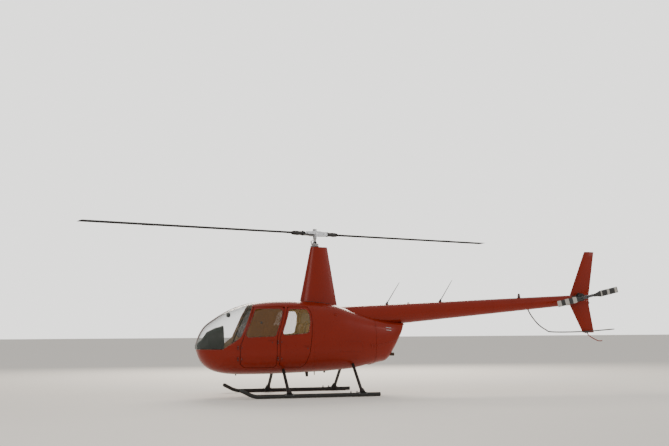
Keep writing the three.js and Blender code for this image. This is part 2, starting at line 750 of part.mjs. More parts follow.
const BELLY_OPENING = { front: 200, rear: 1090, half: 250, low: 300, high: 760 };
const bellyHole = box(
  BELLY_OPENING.front, BELLY_OPENING.rear,
  -BELLY_OPENING.half, BELLY_OPENING.half,
  BELLY_OPENING.low, BELLY_OPENING.high,
);
const rearSpace = (x0, x1) => box(x0, x1, -WIDE, WIDE, 0, FAR);
const bayShell = shell.subtract(grownCone).subtract(tubeWay(CROSS_TUBES.rear));
add(
  "engine_cowl",
  bayShell.intersect(rearSpace(BULKHEAD.front + FIT, COWL_JOINT_X - FIT)).subtract(bellyHole),
  "red",
);
add(
  "tail_cowl",
  bayShell.intersect(rearSpace(COWL_JOINT_X, FAR)).subtract(tailpipe(FIT)),
  "red",
);

// Mast fairing and rotor drive

const FAIRING = [
  // z, front, rear, thickness
  [1600, -355, 475, 290],
  [2912, -92, 253, 130],
];
const fairingRings = FAIRING.map(([z, front, rear, thickness]) =>
  aerofoil(rear - front, thickness, 10).map(([u, v]) => new THREE.Vector3(front + u, v, z)),
);
const [, [FAIRING_TOP]] = FAIRING;
const MAST_BORE = { radius: 31, depth: 240 };
const mastFoot = FAIRING_TOP - MAST_BORE.depth;
const onMast = (z) => [0, 0, z];
add(
  "mast_fairing",
  loft(fairingRings)
    .subtract(grownHull)
    .subtract(grownCone)
    .subtract(rod(onMast(mastFoot), onMast(HUB_TOP_Z), MAST_BORE.radius)),
  "red",
);

// The fixed half stands on the fairing; the turning half above it belongs to the mast
const SWASH = { low: FAIRING_TOP + FIT, split: 2948, top: 2982, radius: 74, neck: 63, gap: 5 };
const fixedRing = rod(onMast(SWASH.low), onMast(SWASH.split - SWASH.gap), SWASH.radius, SWASH.neck, 20);
const mastWay = bar([onMast(mastFoot), onMast(SWASH.top)], MAST_RADIUS + SWASH.gap, 20);
add("swashplate", fixedRing.subtract(mastWay), "steel");

const rotorHead = new THREE.Group();
rotorHead.rotation.z = radians(ROTOR_AZIMUTH);
aircraft.add(rotorHead);

const TONGUE = { long: 34, wide: 26, low: 3080 };
const PIN_RADIUS = 11;
const LINKS = { x: 60, y: 52, radius: 7, top: 3114, foot: 0.8, low: SWASH.split + 8 };
let mast = bar([onMast(mastFoot + FIT), onMast(TONGUE.low + LAP)], MAST_RADIUS, 20)
  .add(bar([onMast(SWASH.split), onMast(SWASH.top)], SWASH.radius, 20))
  .add(box(-TONGUE.long, TONGUE.long, -TONGUE.wide, TONGUE.wide, TONGUE.low, HUB_TOP_Z));
for (const side of [-1, 1]) {
  const [x, y] = [side * LINKS.x, side * LINKS.y];
  const foot = [x * LINKS.foot, y * LINKS.foot, LINKS.low];
  mast = mast.add(rod(foot, [x, y, LINKS.top], LINKS.radius, LINKS.radius, 8));
}
const pinHole = PIN_RADIUS + FIT;
mast = mast.subtract(rod([0, -MAST_RADIUS, TEETER_Z], [0, MAST_RADIUS, TEETER_Z], pinHole, pinHole, 16));
add("mast", mast, "steel", rotorHead);

const teeter = new THREE.Group();
teeter.position.z = TEETER_Z;
teeter.rotation.y = -radians(TEETER_TILT);
rotorHead.add(teeter);

const HUB = { long: 285, wide: 58, low: -48, high: 52, slotLong: 92, slotWide: 31, pin: 72 };
const hub = box(-HUB.long, HUB.long, -HUB.wide, HUB.wide, HUB.low, HUB.high)
  .subtract(box(-HUB.slotLong, HUB.slotLong, -HUB.slotWide, HUB.slotWide, 2 * HUB.low, 2 * HUB.high))
  .add(rod([0, -HUB.pin, 0], [0, HUB.pin, 0], PIN_RADIUS, PIN_RADIUS, 16));
add("rotor_hub", hub, "steel", teeter);

// Blade sections from the root out: radius, chord, thickness
const BLADE = [
  [520, 150, 44],
  [760, BLADE_CHORD, BLADE_THICKNESS],
  [4990, BLADE_CHORD, BLADE_THICKNESS],
  [ROTOR_RADIUS, BLADE_CHORD * 0.93, BLADE_THICKNESS * 0.7],
];
const bladeRings = BLADE.map(([radius, chord, thickness]) =>
  aerofoil(chord, thickness).map(([u, v]) => new THREE.Vector3(radius, chord * 0.5 - u, v)),
);
const CUFF = { start: HUB.long + FIT, end: 560, radius: 47, endRadius: 38 };
const cuff = rod([CUFF.start, 0, 0], [CUFF.end, 0, 0], CUFF.radius, CUFF.endRadius);
const blade = loft(bladeRings).add(cuff);
for (const [number, turn] of [[1, 180], [2, 0]]) {
  const mesh = add(`main_blade_${number}`, blade, "charcoal", teeter);
  mesh.rotation.z = radians(turn);
}

// Tail end: gearbox, tail rotor and fins

const FIN = { y: 86, thickness: 50, split: 1860, foot: 1165 };
const GEARBOX = { front: CONE.rear + FIT, left: -95, right: 60, radius: 84 };
const INPUT_BELL = { radius: 92, endRadius: 66, endZ: TAIL_ROTOR.z - 20 };
const SHAFT_HOUSING = { end: -262, radius: 44, endRadius: 38 };
const onGearAxis = (y, z = TAIL_ROTOR.z) => [TAIL_ROTOR.x, y, z];
const bellFoot = [GEARBOX.front, 0, CONE.rearZ];
const inputBell = rod(bellFoot, onGearAxis(0, INPUT_BELL.endZ), INPUT_BELL.radius, INPUT_BELL.endRadius, 24);
const gearbox = rod(onGearAxis(GEARBOX.left), onGearAxis(GEARBOX.right), GEARBOX.radius, GEARBOX.radius, 24)
  .add(inputBell)
  .add(rod(onGearAxis(0), onGearAxis(SHAFT_HOUSING.end), SHAFT_HOUSING.radius, SHAFT_HOUSING.endRadius))
  .intersect(box(GEARBOX.front, GUARD_END_X, -WIDE, GEARBOX.right, 0, FAR));
add("tail_gearbox", gearbox, "black");

const tailHead = new THREE.Group();
tailHead.position.set(TAIL_ROTOR.x, TAIL_ROTOR.y, TAIL_ROTOR.z);
tailHead.rotation.y = -radians(TAIL_ROTOR.lift);
aircraft.add(tailHead);
const shaftStart = SHAFT_HOUSING.end - FIT - TAIL_ROTOR.y;
const TAIL_HUB = { long: 120, half: 17, bolt: 30, cap: -38, shaft: 20, ringStart: 45, ringEnd: 62, ring: 46 };
const tailHub = rod([0, shaftStart, 0], [0, TAIL_HUB.cap, 0], TAIL_HUB.shaft)
  .add(box(-TAIL_HUB.long, TAIL_HUB.long, -TAIL_HUB.half, TAIL_HUB.half, -TAIL_HUB.bolt, TAIL_HUB.bolt))
  .add(rod([0, TAIL_HUB.ringStart, 0], [0, TAIL_HUB.ringEnd, 0], TAIL_HUB.ring));
add("tail_rotor_hub", tailHub, "steel", tailHead);
const TAIL_BLADE = [
  // radius, chord, thickness
  [130, 62, 22],
  [210, 78, 20],
  [300, TAIL_ROTOR.chord, 17],
  [TAIL_ROTOR.radius, TAIL_ROTOR.chord, 14],
];
const tailBladeRings = TAIL_BLADE.map(([radius, chord, thickness]) =>
  aerofoil(chord, thickness).map(([u, v]) => new THREE.Vector3(radius, v, chord * 0.5 - u)),
);
const SHANK_END = 180;
const shank = rod([TAIL_HUB.long + FIT, 0, 0], [SHANK_END, 0, 0], TAIL_HUB.half);
const tailBlade = loft(tailBladeRings).add(shank);
for (const [number, turn] of [[1, 0], [2, 180]]) {
  const mesh = add(`tail_blade_${number}`, tailBlade, "black", tailHead);
  mesh.rotation.y = radians(turn);
}

// Fins: height, front, rear, thickness
const UPPER_FIN = [
  [FIN.split, 5697, 6157, FIN.thickness],
  [1970, 5697, 6157, FIN.thickness],
  [2923, 6086, 6318, 26],
];
const LOWER_FIN = [
  [FIN.foot, 5979, 6252, 28],
  [1748, 5697, 6156, FIN.thickness],
  [FIN.split - FIT, 5697, 6157, FIN.thickness],
];
const fin = (rows) =>
  loft(
    rows.map(([z, front, rear, thickness]) =>
      aerofoil(rear - front, thickness).map(([u, v]) => new THREE.Vector3(front + u, FIN.y + v, z)),
    ),
  );
const finFree = box(CONE.rear, GUARD_END_X, GEARBOX.right + FIT, WIDE, 0, FAR);
add("upper_fin", fin(UPPER_FIN).intersect(finFree), "red");
add("lower_fin", fin(LOWER_FIN).intersect(finFree), "red");

// Stabiliser on the right: distance out, front, rear, thickness
const STABILISER = [
  [FIN.y, 5735, 6065, 44],
  [860, 5790, 6065, 30],
];
const STABILISER_Z = 1905;
const [[, finFront, finRear]] = UPPER_FIN;
const grownFins = loft(
  [STABILISER_Z - FIN.thickness, STABILISER_Z + FIN.thickness].map((z) =>
    aerofoil(finRear - finFront, FIN.thickness).map(
      ([u, v]) => new THREE.Vector3(finFront + u, FIN.y + v + (v > 0 ? FIT : 0), z),
    ),
  ),
);
const stabiliser = loft(
  STABILISER.map(([y, front, rear, thickness]) =>
    aerofoil(rear - front, thickness).map(([u, v]) => new THREE.Vector3(front + u, y, STABILISER_Z + v)),
  ),
).subtract(grownFins).intersect(box(CONE.rear, GUARD_END_X, FIN.y + 1, WIDE, 0, FAR));
add("stabiliser", stabiliser, "red");

// Tail rotor guard and tail skid

const GUARD_RADIUS = 13;
const GUARD_PATH = [
  // x, z
  [4620, 1735],
  [4680, 1610],
  [4755, 1494],
  [4886, 1347],
  [5059, 1232],
  [5220, 1187],
  [5912, 1190],
  [GUARD_END_X, 1240],
];
// The bracket reaches from the tube to the lower fin's foot
const BRACKET = { front: 6020, rear: 6060, low: FIN.foot - 8, high: FIN.foot - FIT, half: 8, top: 1198 };
const guard = bar(GUARD_PATH.map(([x, z]) => [x, 0, z]), GUARD_RADIUS, 10)
  .add(box(BRACKET.front, BRACKET.rear, 0, FIN.y - 1, BRACKET.low, BRACKET.high))
  .add(box(BRACKET.front, BRACKET.rear, -BRACKET.half, BRACKET.half, BRACKET.low, BRACKET.top))
  .subtract(grownCone);
add("tail_guard", guard, "black");

const TAIL_SKID_RADIUS = 11;
const TAIL_SKID = [
  // x, z
  [6084, 1180],
  [6100, 1140],
  [6150, 1088],
  [6335, 995],
  [6446, 990],
];
const belowFin = box(CONE.rear, GUARD_END_X, -WIDE, WIDE, 0, FIN.foot - FIT);
const tailSkid = bar(TAIL_SKID.map(([x, z]) => [x, FIN.y, z]), TAIL_SKID_RADIUS, 10).intersect(belowFin);
add("tail_skid", tailSkid, "red");

// Aerials and beacon on the tailcone: foot, tip
const AERIALS = [
  ["aerial_front", 1494, 1781, 2221],
  ["aerial_rear", 2655, 2943, 2278],
];
const AERIAL_FOOT = { sunk: 15, height: 60, lean: 26, radius: 36, neck: 11 };
const WHIP = { radius: 8, tip: 4 };
const coneTop = (x) => coneAt(x).z + coneAt(x).radius;
for (const [name, x, tipX, tipZ] of AERIALS) {
  const low = [x, 0, coneTop(x) - AERIAL_FOOT.sunk];
  const neck = [x + AERIAL_FOOT.lean, 0, coneTop(x) + AERIAL_FOOT.height];
  const foot = rod(low, neck, AERIAL_FOOT.radius, AERIAL_FOOT.neck, 12);
  const whip = rod([x, 0, coneTop(x)], [tipX, 0, tipZ], WHIP.radius, WHIP.tip, 8);
  add(name, foot.add(whip).subtract(grownCone), "black");
}
const BEACON = { x: 4451, radius: 34, tip: 20, top: 2003, sunk: 20 };
const beacon = rod(
  [BEACON.x, 0, coneTop(BEACON.x) - BEACON.sunk],
  [BEACON.x, 0, BEACON.top],
  BEACON.radius,
  BEACON.tip,
);
add("beacon", beacon.subtract(grownCone), "black");

export default helicopter;
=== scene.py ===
"""Looks of a light four-seat helicopter parked on its skids.

Metres, +X towards the tail, +Y to the pilot's right, +Z up, the ground at z = 0. Shapes are worked
out from the mast's axis, and moved to the frame's own x when a piece is made.
"""
import math

import bpy
import numpy as np
from mathutils import Matrix, Vector
from mathutils.bvhtree import BVHTree


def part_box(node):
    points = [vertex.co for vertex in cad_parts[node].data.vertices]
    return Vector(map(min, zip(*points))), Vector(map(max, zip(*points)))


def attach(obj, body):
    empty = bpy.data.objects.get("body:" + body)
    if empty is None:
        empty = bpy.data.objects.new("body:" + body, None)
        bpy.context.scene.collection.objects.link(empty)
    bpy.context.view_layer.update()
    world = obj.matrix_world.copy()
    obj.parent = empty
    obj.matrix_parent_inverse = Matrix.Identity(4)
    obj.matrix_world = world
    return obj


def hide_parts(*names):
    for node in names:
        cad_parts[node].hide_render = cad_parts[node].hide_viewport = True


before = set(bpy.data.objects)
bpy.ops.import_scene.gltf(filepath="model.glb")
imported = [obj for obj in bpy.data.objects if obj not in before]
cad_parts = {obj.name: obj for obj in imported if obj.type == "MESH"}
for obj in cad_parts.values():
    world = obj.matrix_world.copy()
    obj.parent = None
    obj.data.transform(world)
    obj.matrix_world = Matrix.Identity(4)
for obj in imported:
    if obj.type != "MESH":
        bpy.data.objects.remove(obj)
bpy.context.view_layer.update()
mast_low, mast_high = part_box("mast")
MAST_X = (mast_low.x + mast_high.x) / 2

# Camera: place from the mast's foot, and angles in degrees
CAMERA_PLACE = (-4.450, -18.071, 1.161)
CAMERA_AZIMUTH = -15.063
CAMERA_ELEVATION = -6.856  # below the horizon, so it looks up
CAMERA_ROLL = -0.416
CAMERA_LENS = 50.0


def make_camera():
    """The camera stands at the photograph's place and looks along its fitted direction."""
    azimuth, elevation, roll = (math.radians(a) for a in (CAMERA_AZIMUTH, CAMERA_ELEVATION, CAMERA_ROLL))
    forward = Vector((
        -math.sin(azimuth) * math.cos(elevation),
        math.cos(azimuth) * math.cos(elevation),
        -math.sin(elevation),
    ))
    level = Vector((math.cos(azimuth), math.sin(azimuth), 0))
    above = level.cross(forward)
    right = level * math.cos(roll) + above * math.sin(roll)
    up = above * math.cos(roll) - level * math.sin(roll)
    data = bpy.data.cameras.new("camera")
    data.lens = CAMERA_LENS
    data.sensor_width = 36.0
    data.clip_end = 500
    camera = bpy.data.objects.new("camera", data)
    bpy.context.scene.collection.objects.link(camera)
    turn = Matrix((right, up, -forward)).transposed().to_4x4()
    camera.matrix_world = Matrix.Translation(Vector(CAMERA_PLACE) + Vector((MAST_X, 0, 0))) @ turn
    bpy.context.scene.camera = camera


make_camera()

# Driving dimensions, from the mast's axis
BLADE = {"half_chord": 0.127, "thickness": 0.031, "even_from": 0.760, "even_to": 4.990}
ROTOR_AZIMUTH = math.radians(24.5)
TEETER_TILT = math.radians(1.08)
TEETER_Z = 3.180
HUB_TOP_Z = 3.277
TAIL_ROTOR = {"x": 5.893, "y": -0.338, "z": 1.923, "radius": 0.737, "half_chord": 0.065,
              "lift": math.radians(12.65)}
SKID = {"half": 1.060, "radius": 0.037, "z": 0.042, "rear": 0.990, "toe": -1.675}
FLOOR_Z = 0.550
BULKHEAD_X = -0.175
COWL_JOINT_X = 1.150
WALL = 0.028
GLASS_WALL = 0.006
GLASS_GAP = 0.0005
DOOR_GAP = 0.008
PIPE_Y = -0.150

# Body sections from nose to tail, with the roundness of the upper and lower half (2 is an ellipse)
SECTIONS = np.array([
    # x, belly, top, half width, widest height, upper power, lower power
    (-2.377, 0.930, 0.974, 0.024, 0.952, 2.0, 2.0),
    (-2.355, 0.864, 1.050, 0.108, 0.950, 2.0, 2.0),
    (-2.300, 0.718, 1.197, 0.226, 0.942, 2.1, 2.1),
    (-2.200, 0.588, 1.346, 0.345, 0.935, 2.2, 2.3),
    (-2.050, 0.495, 1.462, 0.440, 0.935, 2.3, 2.6),
    (-1.850, 0.441, 1.588, 0.522, 0.945, 2.5, 2.9),
    (-1.600, 0.419, 1.706, 0.585, 0.960, 2.6, 3.1),
    (-1.300, 0.415, 1.790, 0.625, 0.980, 2.7, 3.2),
    (-0.950, 0.417, 1.833, 0.638, 0.995, 2.8, 3.2),
    (-0.600, 0.424, 1.842, 0.638, 1.005, 2.8, 3.2),
    (-0.250, 0.435, 1.824, 0.632, 1.010, 2.8, 3.1),
    (0.100, 0.447, 1.795, 0.605, 1.012, 2.8, 3.0),
    (0.400, 0.460, 1.745, 0.560, 1.010, 2.8, 2.9),
    (0.700, 0.482, 1.640, 0.500, 1.005, 2.8, 2.8),
    (1.000, 0.537, 1.540, 0.432, 1.010, 2.8, 2.7),
    (1.250, 0.600, 1.478, 0.368, 1.035, 2.8, 2.6),
    (1.448, 0.655, 1.440, 0.308, 1.080, 2.8, 2.5),
    (1.592, 0.845, 1.418, 0.262, 1.150, 2.7, 2.4),
    (1.703, 1.060, 1.405, 0.232, 1.235, 2.6, 2.3),
    (1.765, 1.215, 1.398, 0.212, 1.310, 2.5, 2.2),
    (1.785, 1.376, 1.394, 0.195, 1.385, 2.4, 2.1),
])
LAST_ROW = len(SECTIONS) - 1
NOSE_BULGE = 0.003

# Side outlines of the panels, as x, z
WINDSHIELD = [
    (-2.600, 0.898), (-1.915, 0.898), (-1.800, 0.975), (-1.680, 1.050), (-1.578, 1.135),
    (-1.480, 1.360), (-1.399, 1.565), (-1.320, 1.745), (-1.245, 1.950), (-2.600, 1.950),
]
FRONT_DOOR = [
    (-1.315, 1.705), (-0.715, 1.705), (-0.895, 1.100), (-0.895, 0.600), (-0.950, 0.545),
    (-1.500, 0.545), (-1.590, 0.620), (-1.600, 0.950), (-1.545, 1.095),
]
REAR_DOOR = [
    (-0.665, 1.705), (-0.265, 1.705), (-0.212, 1.600), (-0.200, 1.400), (-0.215, 1.100), (-0.255, 0.800),
    (-0.330, 0.610), (-0.410, 0.545), (-0.790, 0.545), (-0.845, 0.600), (-0.845, 1.100),
]
FRONT_WINDOW = [(-1.282, 1.662), (-0.752, 1.662), (-0.930, 1.140), (-1.514, 1.122)]
REAR_WINDOW = [
    (-0.632, 1.655), (-0.300, 1.650), (-0.252, 1.560), (-0.248, 1.400), (-0.285, 1.200), (-0.805, 1.148),
]
DOOR_CORNER = 0.040
OPENING_CORNER = 0.006
OPENING_FROM = 0.25  # distance from the aircraft's middle at which the door openings begin
DOORS_FROM = 0.2  # and the one from which a side's doors and windows are cut
WINDOW_CORNER = 0.055
WINDSHIELD_CORNER = 0.040
STRIP_HALF = 0.014
SIDES = (("left", -1), ("right", 1))
DOORS = (
    # name, outline, window
    ("front", FRONT_DOOR, FRONT_WINDOW),
    ("rear", REAR_DOOR, REAR_WINDOW),
)


# Shapes: points with the quads and triangles between them

ROD_CHAMFER = 0.0015
RIVET_HEIGHT = 0.0011
STRIP_SUNK = 0.0015
SAME_PLACE = 1e-6


def shape(points, quads=(), tris=(), uv=None, normals=None):
    """Arrays of one shape; uv holds a length along and a length round for each point."""
    points = np.asarray(points, float).reshape(-1, 3)
    quads = np.asarray(quads, int).reshape(-1, 4)
    tris = np.asarray(tris, int).reshape(-1, 3)
    return {
        "points": points, "quads": quads, "tris": tris,
        "uv": np.zeros((len(points), 2)) if uv is None else np.asarray(uv, float).reshape(-1, 2),
        "normals": normals,
        "quad_finish": np.zeros(len(quads), int), "tri_finish": np.zeros(len(tris), int),
    }


def join(*shapes):
    """Several shapes as one, with their face numbers moved on by the points before them."""
    starts = np.cumsum([0] + [len(s["points"]) for s in shapes])
    stack = lambda key: np.concatenate([s[key] for s in shapes])
    moved = lambda key: np.concatenate([s[key] + n for s, n in zip(shapes, starts)])
    whole = {key: stack(key) for key in ("points", "uv", "quad_finish", "tri_finish")}
    whole.update(quads=moved("quads"), tris=moved("tris"), normals=None)
    if all(s["normals"] is not None for s in shapes):
        whole["normals"] = stack("normals")
    return whole


def finished(one, finish):
    """The shape with another finish number on all its faces."""
    return {**one, "quad_finish": np.full(len(one["quads"]), finish),
            "tri_finish": np.full(len(one["tris"]), finish)}


def placed(one, matrix):
    """The shape moved by a matrix; one that mirrors turns the faces over."""
    m = np.array(matrix, float)
    points = one["points"] @ m[:3, :3].T + m[:3, 3]
    new = {**one, "points": points}
    if one["normals"] is not None:
        normals = one["normals"] @ np.linalg.inv(m[:3, :3])
        new["normals"] = normals / np.linalg.norm(normals, axis=1, keepdims=True)
    if np.linalg.det(m[:3, :3]) < 0:
        new.update(quads=one["quads"][:, ::-1], tris=one["tris"][:, ::-1])
    return new


def mirrored(one):
    """The shape on the other side of the aircraft."""
    return placed(one, Matrix.Scale(-1, 4, (0, 1, 0)))


def both(one):
    return join(one, mirrored(one))


def cells(rows, columns):
    """The quads between the points of a grid whose columns close on themselves."""
    i, j = np.meshgrid(np.arange(rows - 1), np.arange(columns), indexing="ij")
    k = (j + 1) % columns
    corners = [i * columns + j, i * columns + k, (i + 1) * columns + k, (i + 1) * columns + j]
    return np.stack(corners, -1).reshape(-1, 4)


def grid(points, caps=True, uv=None):
    """A skin over a grid of points, rows by columns, that closes round; caps are fans over its ends."""
    rows, columns = points.shape[:2]
    flat = points.reshape(-1, 3)
    tris = []
    if uv is None:
        uv = np.zeros(points.shape[:2] + (2,))
    uv = uv.reshape(-1, 2)
    if caps:
        around = np.arange(columns)
        after = (around + 1) % columns
        first, last = len(flat), len(flat) + 1
        end = (rows - 1) * columns
        tris = np.concatenate([
            np.stack([after, around, np.full(columns, first)], -1),
            np.stack([end + around, end + after, np.full(columns, last)], -1),
        ])
        flat = np.concatenate([flat, [points[0].mean(0), points[-1].mean(0)]])
        uv = np.concatenate([uv, [uv[0], uv[-1]]])
    return shape(flat, cells(rows, columns), tris, uv)


def unit(vectors):
    return vectors / np.maximum(np.linalg.norm(vectors, axis=-1, keepdims=True), 1e-12)


def circle(sides, start=0.0):
    return start + np.arange(sides) * 2 * np.pi / sides


def length_along(path):
    """Length along a path up to each of its points."""
    return np.concatenate([[0], np.cumsum(np.linalg.norm(np.diff(path, axis=0), axis=1))])


def cubic(a, b, c, d, t):
    """From b to c as t goes from 0 to 1, with the slopes that the neighbours a and d give."""
    return b + 0.5 * ((c - a) * t + (2 * a - 5 * b + 4 * c - d) * t**2 + (3 * b - a - 3 * c + d) * t**3)


def sweep(path, outline, reference=(0, 0, 1), scale=1.0, caps=True):
    """An outline of (side, up) offsets carried along a path.

    At each path point the side direction is the reference crossed with the path's direction, and up
    is square to both. scale may be one number, or one or two for each path point."""
    path = np.asarray(path, float)
    outline = np.asarray(outline, float)
    along = unit(np.gradient(path, axis=0))
    side = unit(np.cross(np.asarray(reference, float), along))
    up = np.cross(along, side)
    scale = np.asarray(scale, float)
    scale = np.broadcast_to(scale[:, None] if scale.ndim == 1 else scale, (len(path), 2))
    offsets = outline[None] * scale[:, None, :]
    points = path[:, None] + offsets[..., :1] * side[:, None] + offsets[..., 1:] * up[:, None]
    uv = np.stack(np.broadcast_arrays(length_along(path)[:, None], length_along(outline)[None]), -1)
    return grid(points, uv=uv, caps=caps)


def round_outline(radius, sides=16):
    turn = circle(sides)
    return np.stack([np.cos(turn), np.sin(turn)], -1) * radius


def box_outline(width, height, corner, pieces=3):
    """A rectangle with round corners, as an outline of (side, up)."""
    turn = np.linspace(0, np.pi / 2, pieces + 1)
    quarter = np.stack([np.cos(turn), np.sin(turn)], -1) * corner
    middle = np.array([width / 2 - corner, height / 2 - corner])
    signs = np.array([(1, 1), (-1, 1), (-1, -1), (1, -1)])
    quarters = [(quarter if k % 2 == 0 else quarter[::-1]) * s + middle * s for k, s in enumerate(signs)]
    return np.concatenate(quarters)


def tube(path, radius, sides=16, reference=(0, 0, 1), caps=True):
    """A round bar along a path; the radius may change along it."""
    return sweep(path, round_outline(1.0, sides), reference, np.asarray(radius, float), caps)


def line(*points, steps=2):
    """Evenly spaced points on straight stretches between the given ones."""
    points = np.asarray(points, float)
    at = np.linspace(0, len(points) - 1, (len(points) - 1) * (steps - 1) + 1)
    return np.stack([np.interp(at, np.arange(len(points)), points[:, k]) for k in range(3)], -1)


def curve(points, steps=8):
    """A smooth curve through the points, a cubic with the neighbours' slope on each stretch."""
    p = np.asarray(points, float)
    padded = np.concatenate([2 * p[:1] - p[1:2], p, 2 * p[-1:] - p[-2:-1]])
    at = np.linspace(0, len(p) - 1, (len(p) - 1) * steps + 1)
    i = np.minimum(at.astype(int), len(p) - 2)
    t = (at - i)[:, None]
    return cubic(*(padded[i + k] for k in range(4)), t)


def lathe(profile, foot=(0, 0, 0), axis=(0, 0, 1), sides=24):
    """A profile of (radius, height) turned about an axis from a foot point."""
    profile = np.asarray(profile, float)
    axis = unit(np.asarray(axis, float))
    spare = np.array([1.0, 0, 0]) if abs(axis[0]) < 0.9 else np.array([0, 1.0, 0])
    e1 = unit(np.cross(axis, spare))
    e2 = np.cross(axis, e1)
    turn = circle(sides)
    spokes = np.cos(turn)[:, None] * e1 + np.sin(turn)[:, None] * e2
    points = np.asarray(foot, float) + profile[:, None, 1:] * axis + profile[:, None, :1] * spokes[None]
    return grid(points, uv=np.stack(np.broadcast_arrays(profile[:, None, 1], turn[None]), -1))


def turned(foot, axis, *profile, sides=24):
    """A lathed solid whose profile starts and ends on the axis."""
    return lathe(np.array(profile), foot, axis, sides)


def rod(start, end, radius):
    """A straight round bar with a small chamfer at both ends."""
    start, end = np.asarray(start, float), np.asarray(end, float)
    length = float(np.linalg.norm(end - start))
    return turned(start, end - start, (radius - ROD_CHAMFER, 0), (radius, ROD_CHAMFER),
                  (radius, length - ROD_CHAMFER), (radius - ROD_CHAMFER, length), sides=20)


def block(x0, x1, y0, y1, z0, z1):
    """A box of six quads; the piece's Bevel rounds its edges."""
    corners = np.array([(x, y, z) for z in (z0, z1) for y in (y0, y1) for x in (x0, x1)], float)
    faces = [(0, 2, 3, 1), (4, 5, 7, 6), (0, 1, 5, 4), (1, 3, 7, 5), (3, 2, 6, 7), (2, 0, 4, 6)]
    return shape(corners, faces)


def scattered(one, places, normals, reference=(1.0, 0.13, 0.07)):
    """Copies of a small shape, its +Z along each normal, as one joined shape."""
    places, normals = np.asarray(places, float), unit(np.asarray(normals, float))
    first = unit(np.cross(np.asarray(reference, float), normals))
    second = np.cross(normals, first)
    turn = np.stack([first, second, normals], -1)
    points = np.einsum("nij,pj->npi", turn, one["points"]) + places[:, None]
    count, size = len(places), len(one["points"])
    move = (np.arange(count) * size)[:, None, None]
    copy = shape(points, one["quads"][None] + move, one["tris"][None] + move)
    copy["quad_finish"] = np.tile(one["quad_finish"], count)
    copy["tri_finish"] = np.tile(one["tri_finish"], count)
    return copy


def bolt_head(radius=0.007, height=0.005):
    """A hexagon head on a washer, its foot at the origin."""
    washer = turned((0, 0, 0), (0, 0, 1), (radius * 1.35, 0), (radius * 1.35, height * 0.25), sides=12)
    head = turned((0, 0, 0), (0, 0, 1), (radius, 0), (radius, height * 0.85), (radius * 0.8, height), sides=6)
    return join(washer, head)


def rivet(radius=0.0028):
    """A low dome."""
    return turned((0, 0, 0), (0, 0, 1), (radius, -0.0003), (radius * 0.75, RIVET_HEIGHT * 0.75),
                  (radius * 0.3, RIVET_HEIGHT), sides=7)


def slotted_stud(radius=0.009):
    """A round quarter-turn stud in its dished washer, with a slot across it."""
    dish = turned((0, 0, 0), (0, 0, 1), (radius * 1.4, -0.0005), (radius * 1.4, 0.0008), (radius, 0.0014),
                  sides=14)
    head = turned((0, 0, 0), (0, 0, 1), (radius * 0.85, 0.001), (radius * 0.8, 0.0028),
                  (radius * 0.4, 0.0034), sides=14)
    # The slot is a bar that stands just out of the head in finish 1; it takes the near-black material as the
    # slot's painted shadow
    slot = block(-radius * 0.7, radius * 0.7, -0.0009, 0.0009, 0.0028, 0.0038)
    return join(dish, head, finished(slot, 1))


def piece(name, one, materials, body="airframe", replaces=(), bevel=0.0, smooth=40, subdivide=0):
    """A Blender mesh object made from a shape, riding on a body of the frame."""
    mesh = bpy.data.meshes.new(name)
    points = one["points"] + (MAST_X, 0, 0)
    quads, tris = one["quads"], one["tris"]
    mesh.vertices.add(len(points))
    mesh.vertices.foreach_set("co", points.astype(np.float32).ravel())
    mesh.loops.add(quads.size + tris.size)
    corners = np.concatenate([quads.ravel(), tris.ravel()]).astype(np.int32)
    mesh.loops.foreach_set("vertex_index", corners)
    sizes = np.concatenate([np.full(len(quads), 4), np.full(len(tris), 3)])
    mesh.polygons.add(len(sizes))
    mesh.polygons.foreach_set("loop_start", (np.cumsum(sizes) - sizes).astype(np.int32))
    finish = np.concatenate([one["quad_finish"], one["tri_finish"]]).astype(np.int32)
    mesh.polygons.foreach_set("material_index", finish)
    mesh.update(calc_edges=True)
    layer = mesh.uv_layers.new(name="along")
    layer.data.foreach_set("uv", one["uv"][corners].astype(np.float32).ravel())
    mesh.validate()
    for material in materials if isinstance(materials, (list, tuple)) else [materials]:
        mesh.materials.append(material)
    mesh.shade_smooth()
    if one["normals"] is not None:
        mesh.normals_split_custom_set_from_vertices(one["normals"].tolist())
    else:
        mesh.set_sharp_from_angle(angle=math.radians(smooth))
    made = bpy.data.objects.new(name, mesh)
    bpy.context.scene.collection.objects.link(made)
    if bevel:
        modifier = made.modifiers.new("round_edges", "BEVEL")
        modifier.width = bevel
        modifier.segments = 2
        modifier.limit_method = "ANGLE"
        modifier.angle_limit = math.radians(40)
        modifier.use_clamp_overlap = True
        modifier.harden_normals = False
    if subdivide:
        modifier = made.modifiers.new("fine_surface", "SUBSURF")
        modifier.levels = modifier.render_levels = subdivide
    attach(made, body)
    if replaces:
        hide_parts(*replaces)
    return made


# The body's surface

def section(row):
    """The section at fractional rows of the table, on a cubic through its rows."""
    row = np.clip(np.asarray(row, float), 0, LAST_ROW)
    i = np.minimum(row.astype(int), LAST_ROW - 1)
    t = (row - i)[..., None]
    return cubic(*(SECTIONS[np.clip(i + k, 0, LAST_ROW)] for k in (-1, 0, 1, 2)), t)


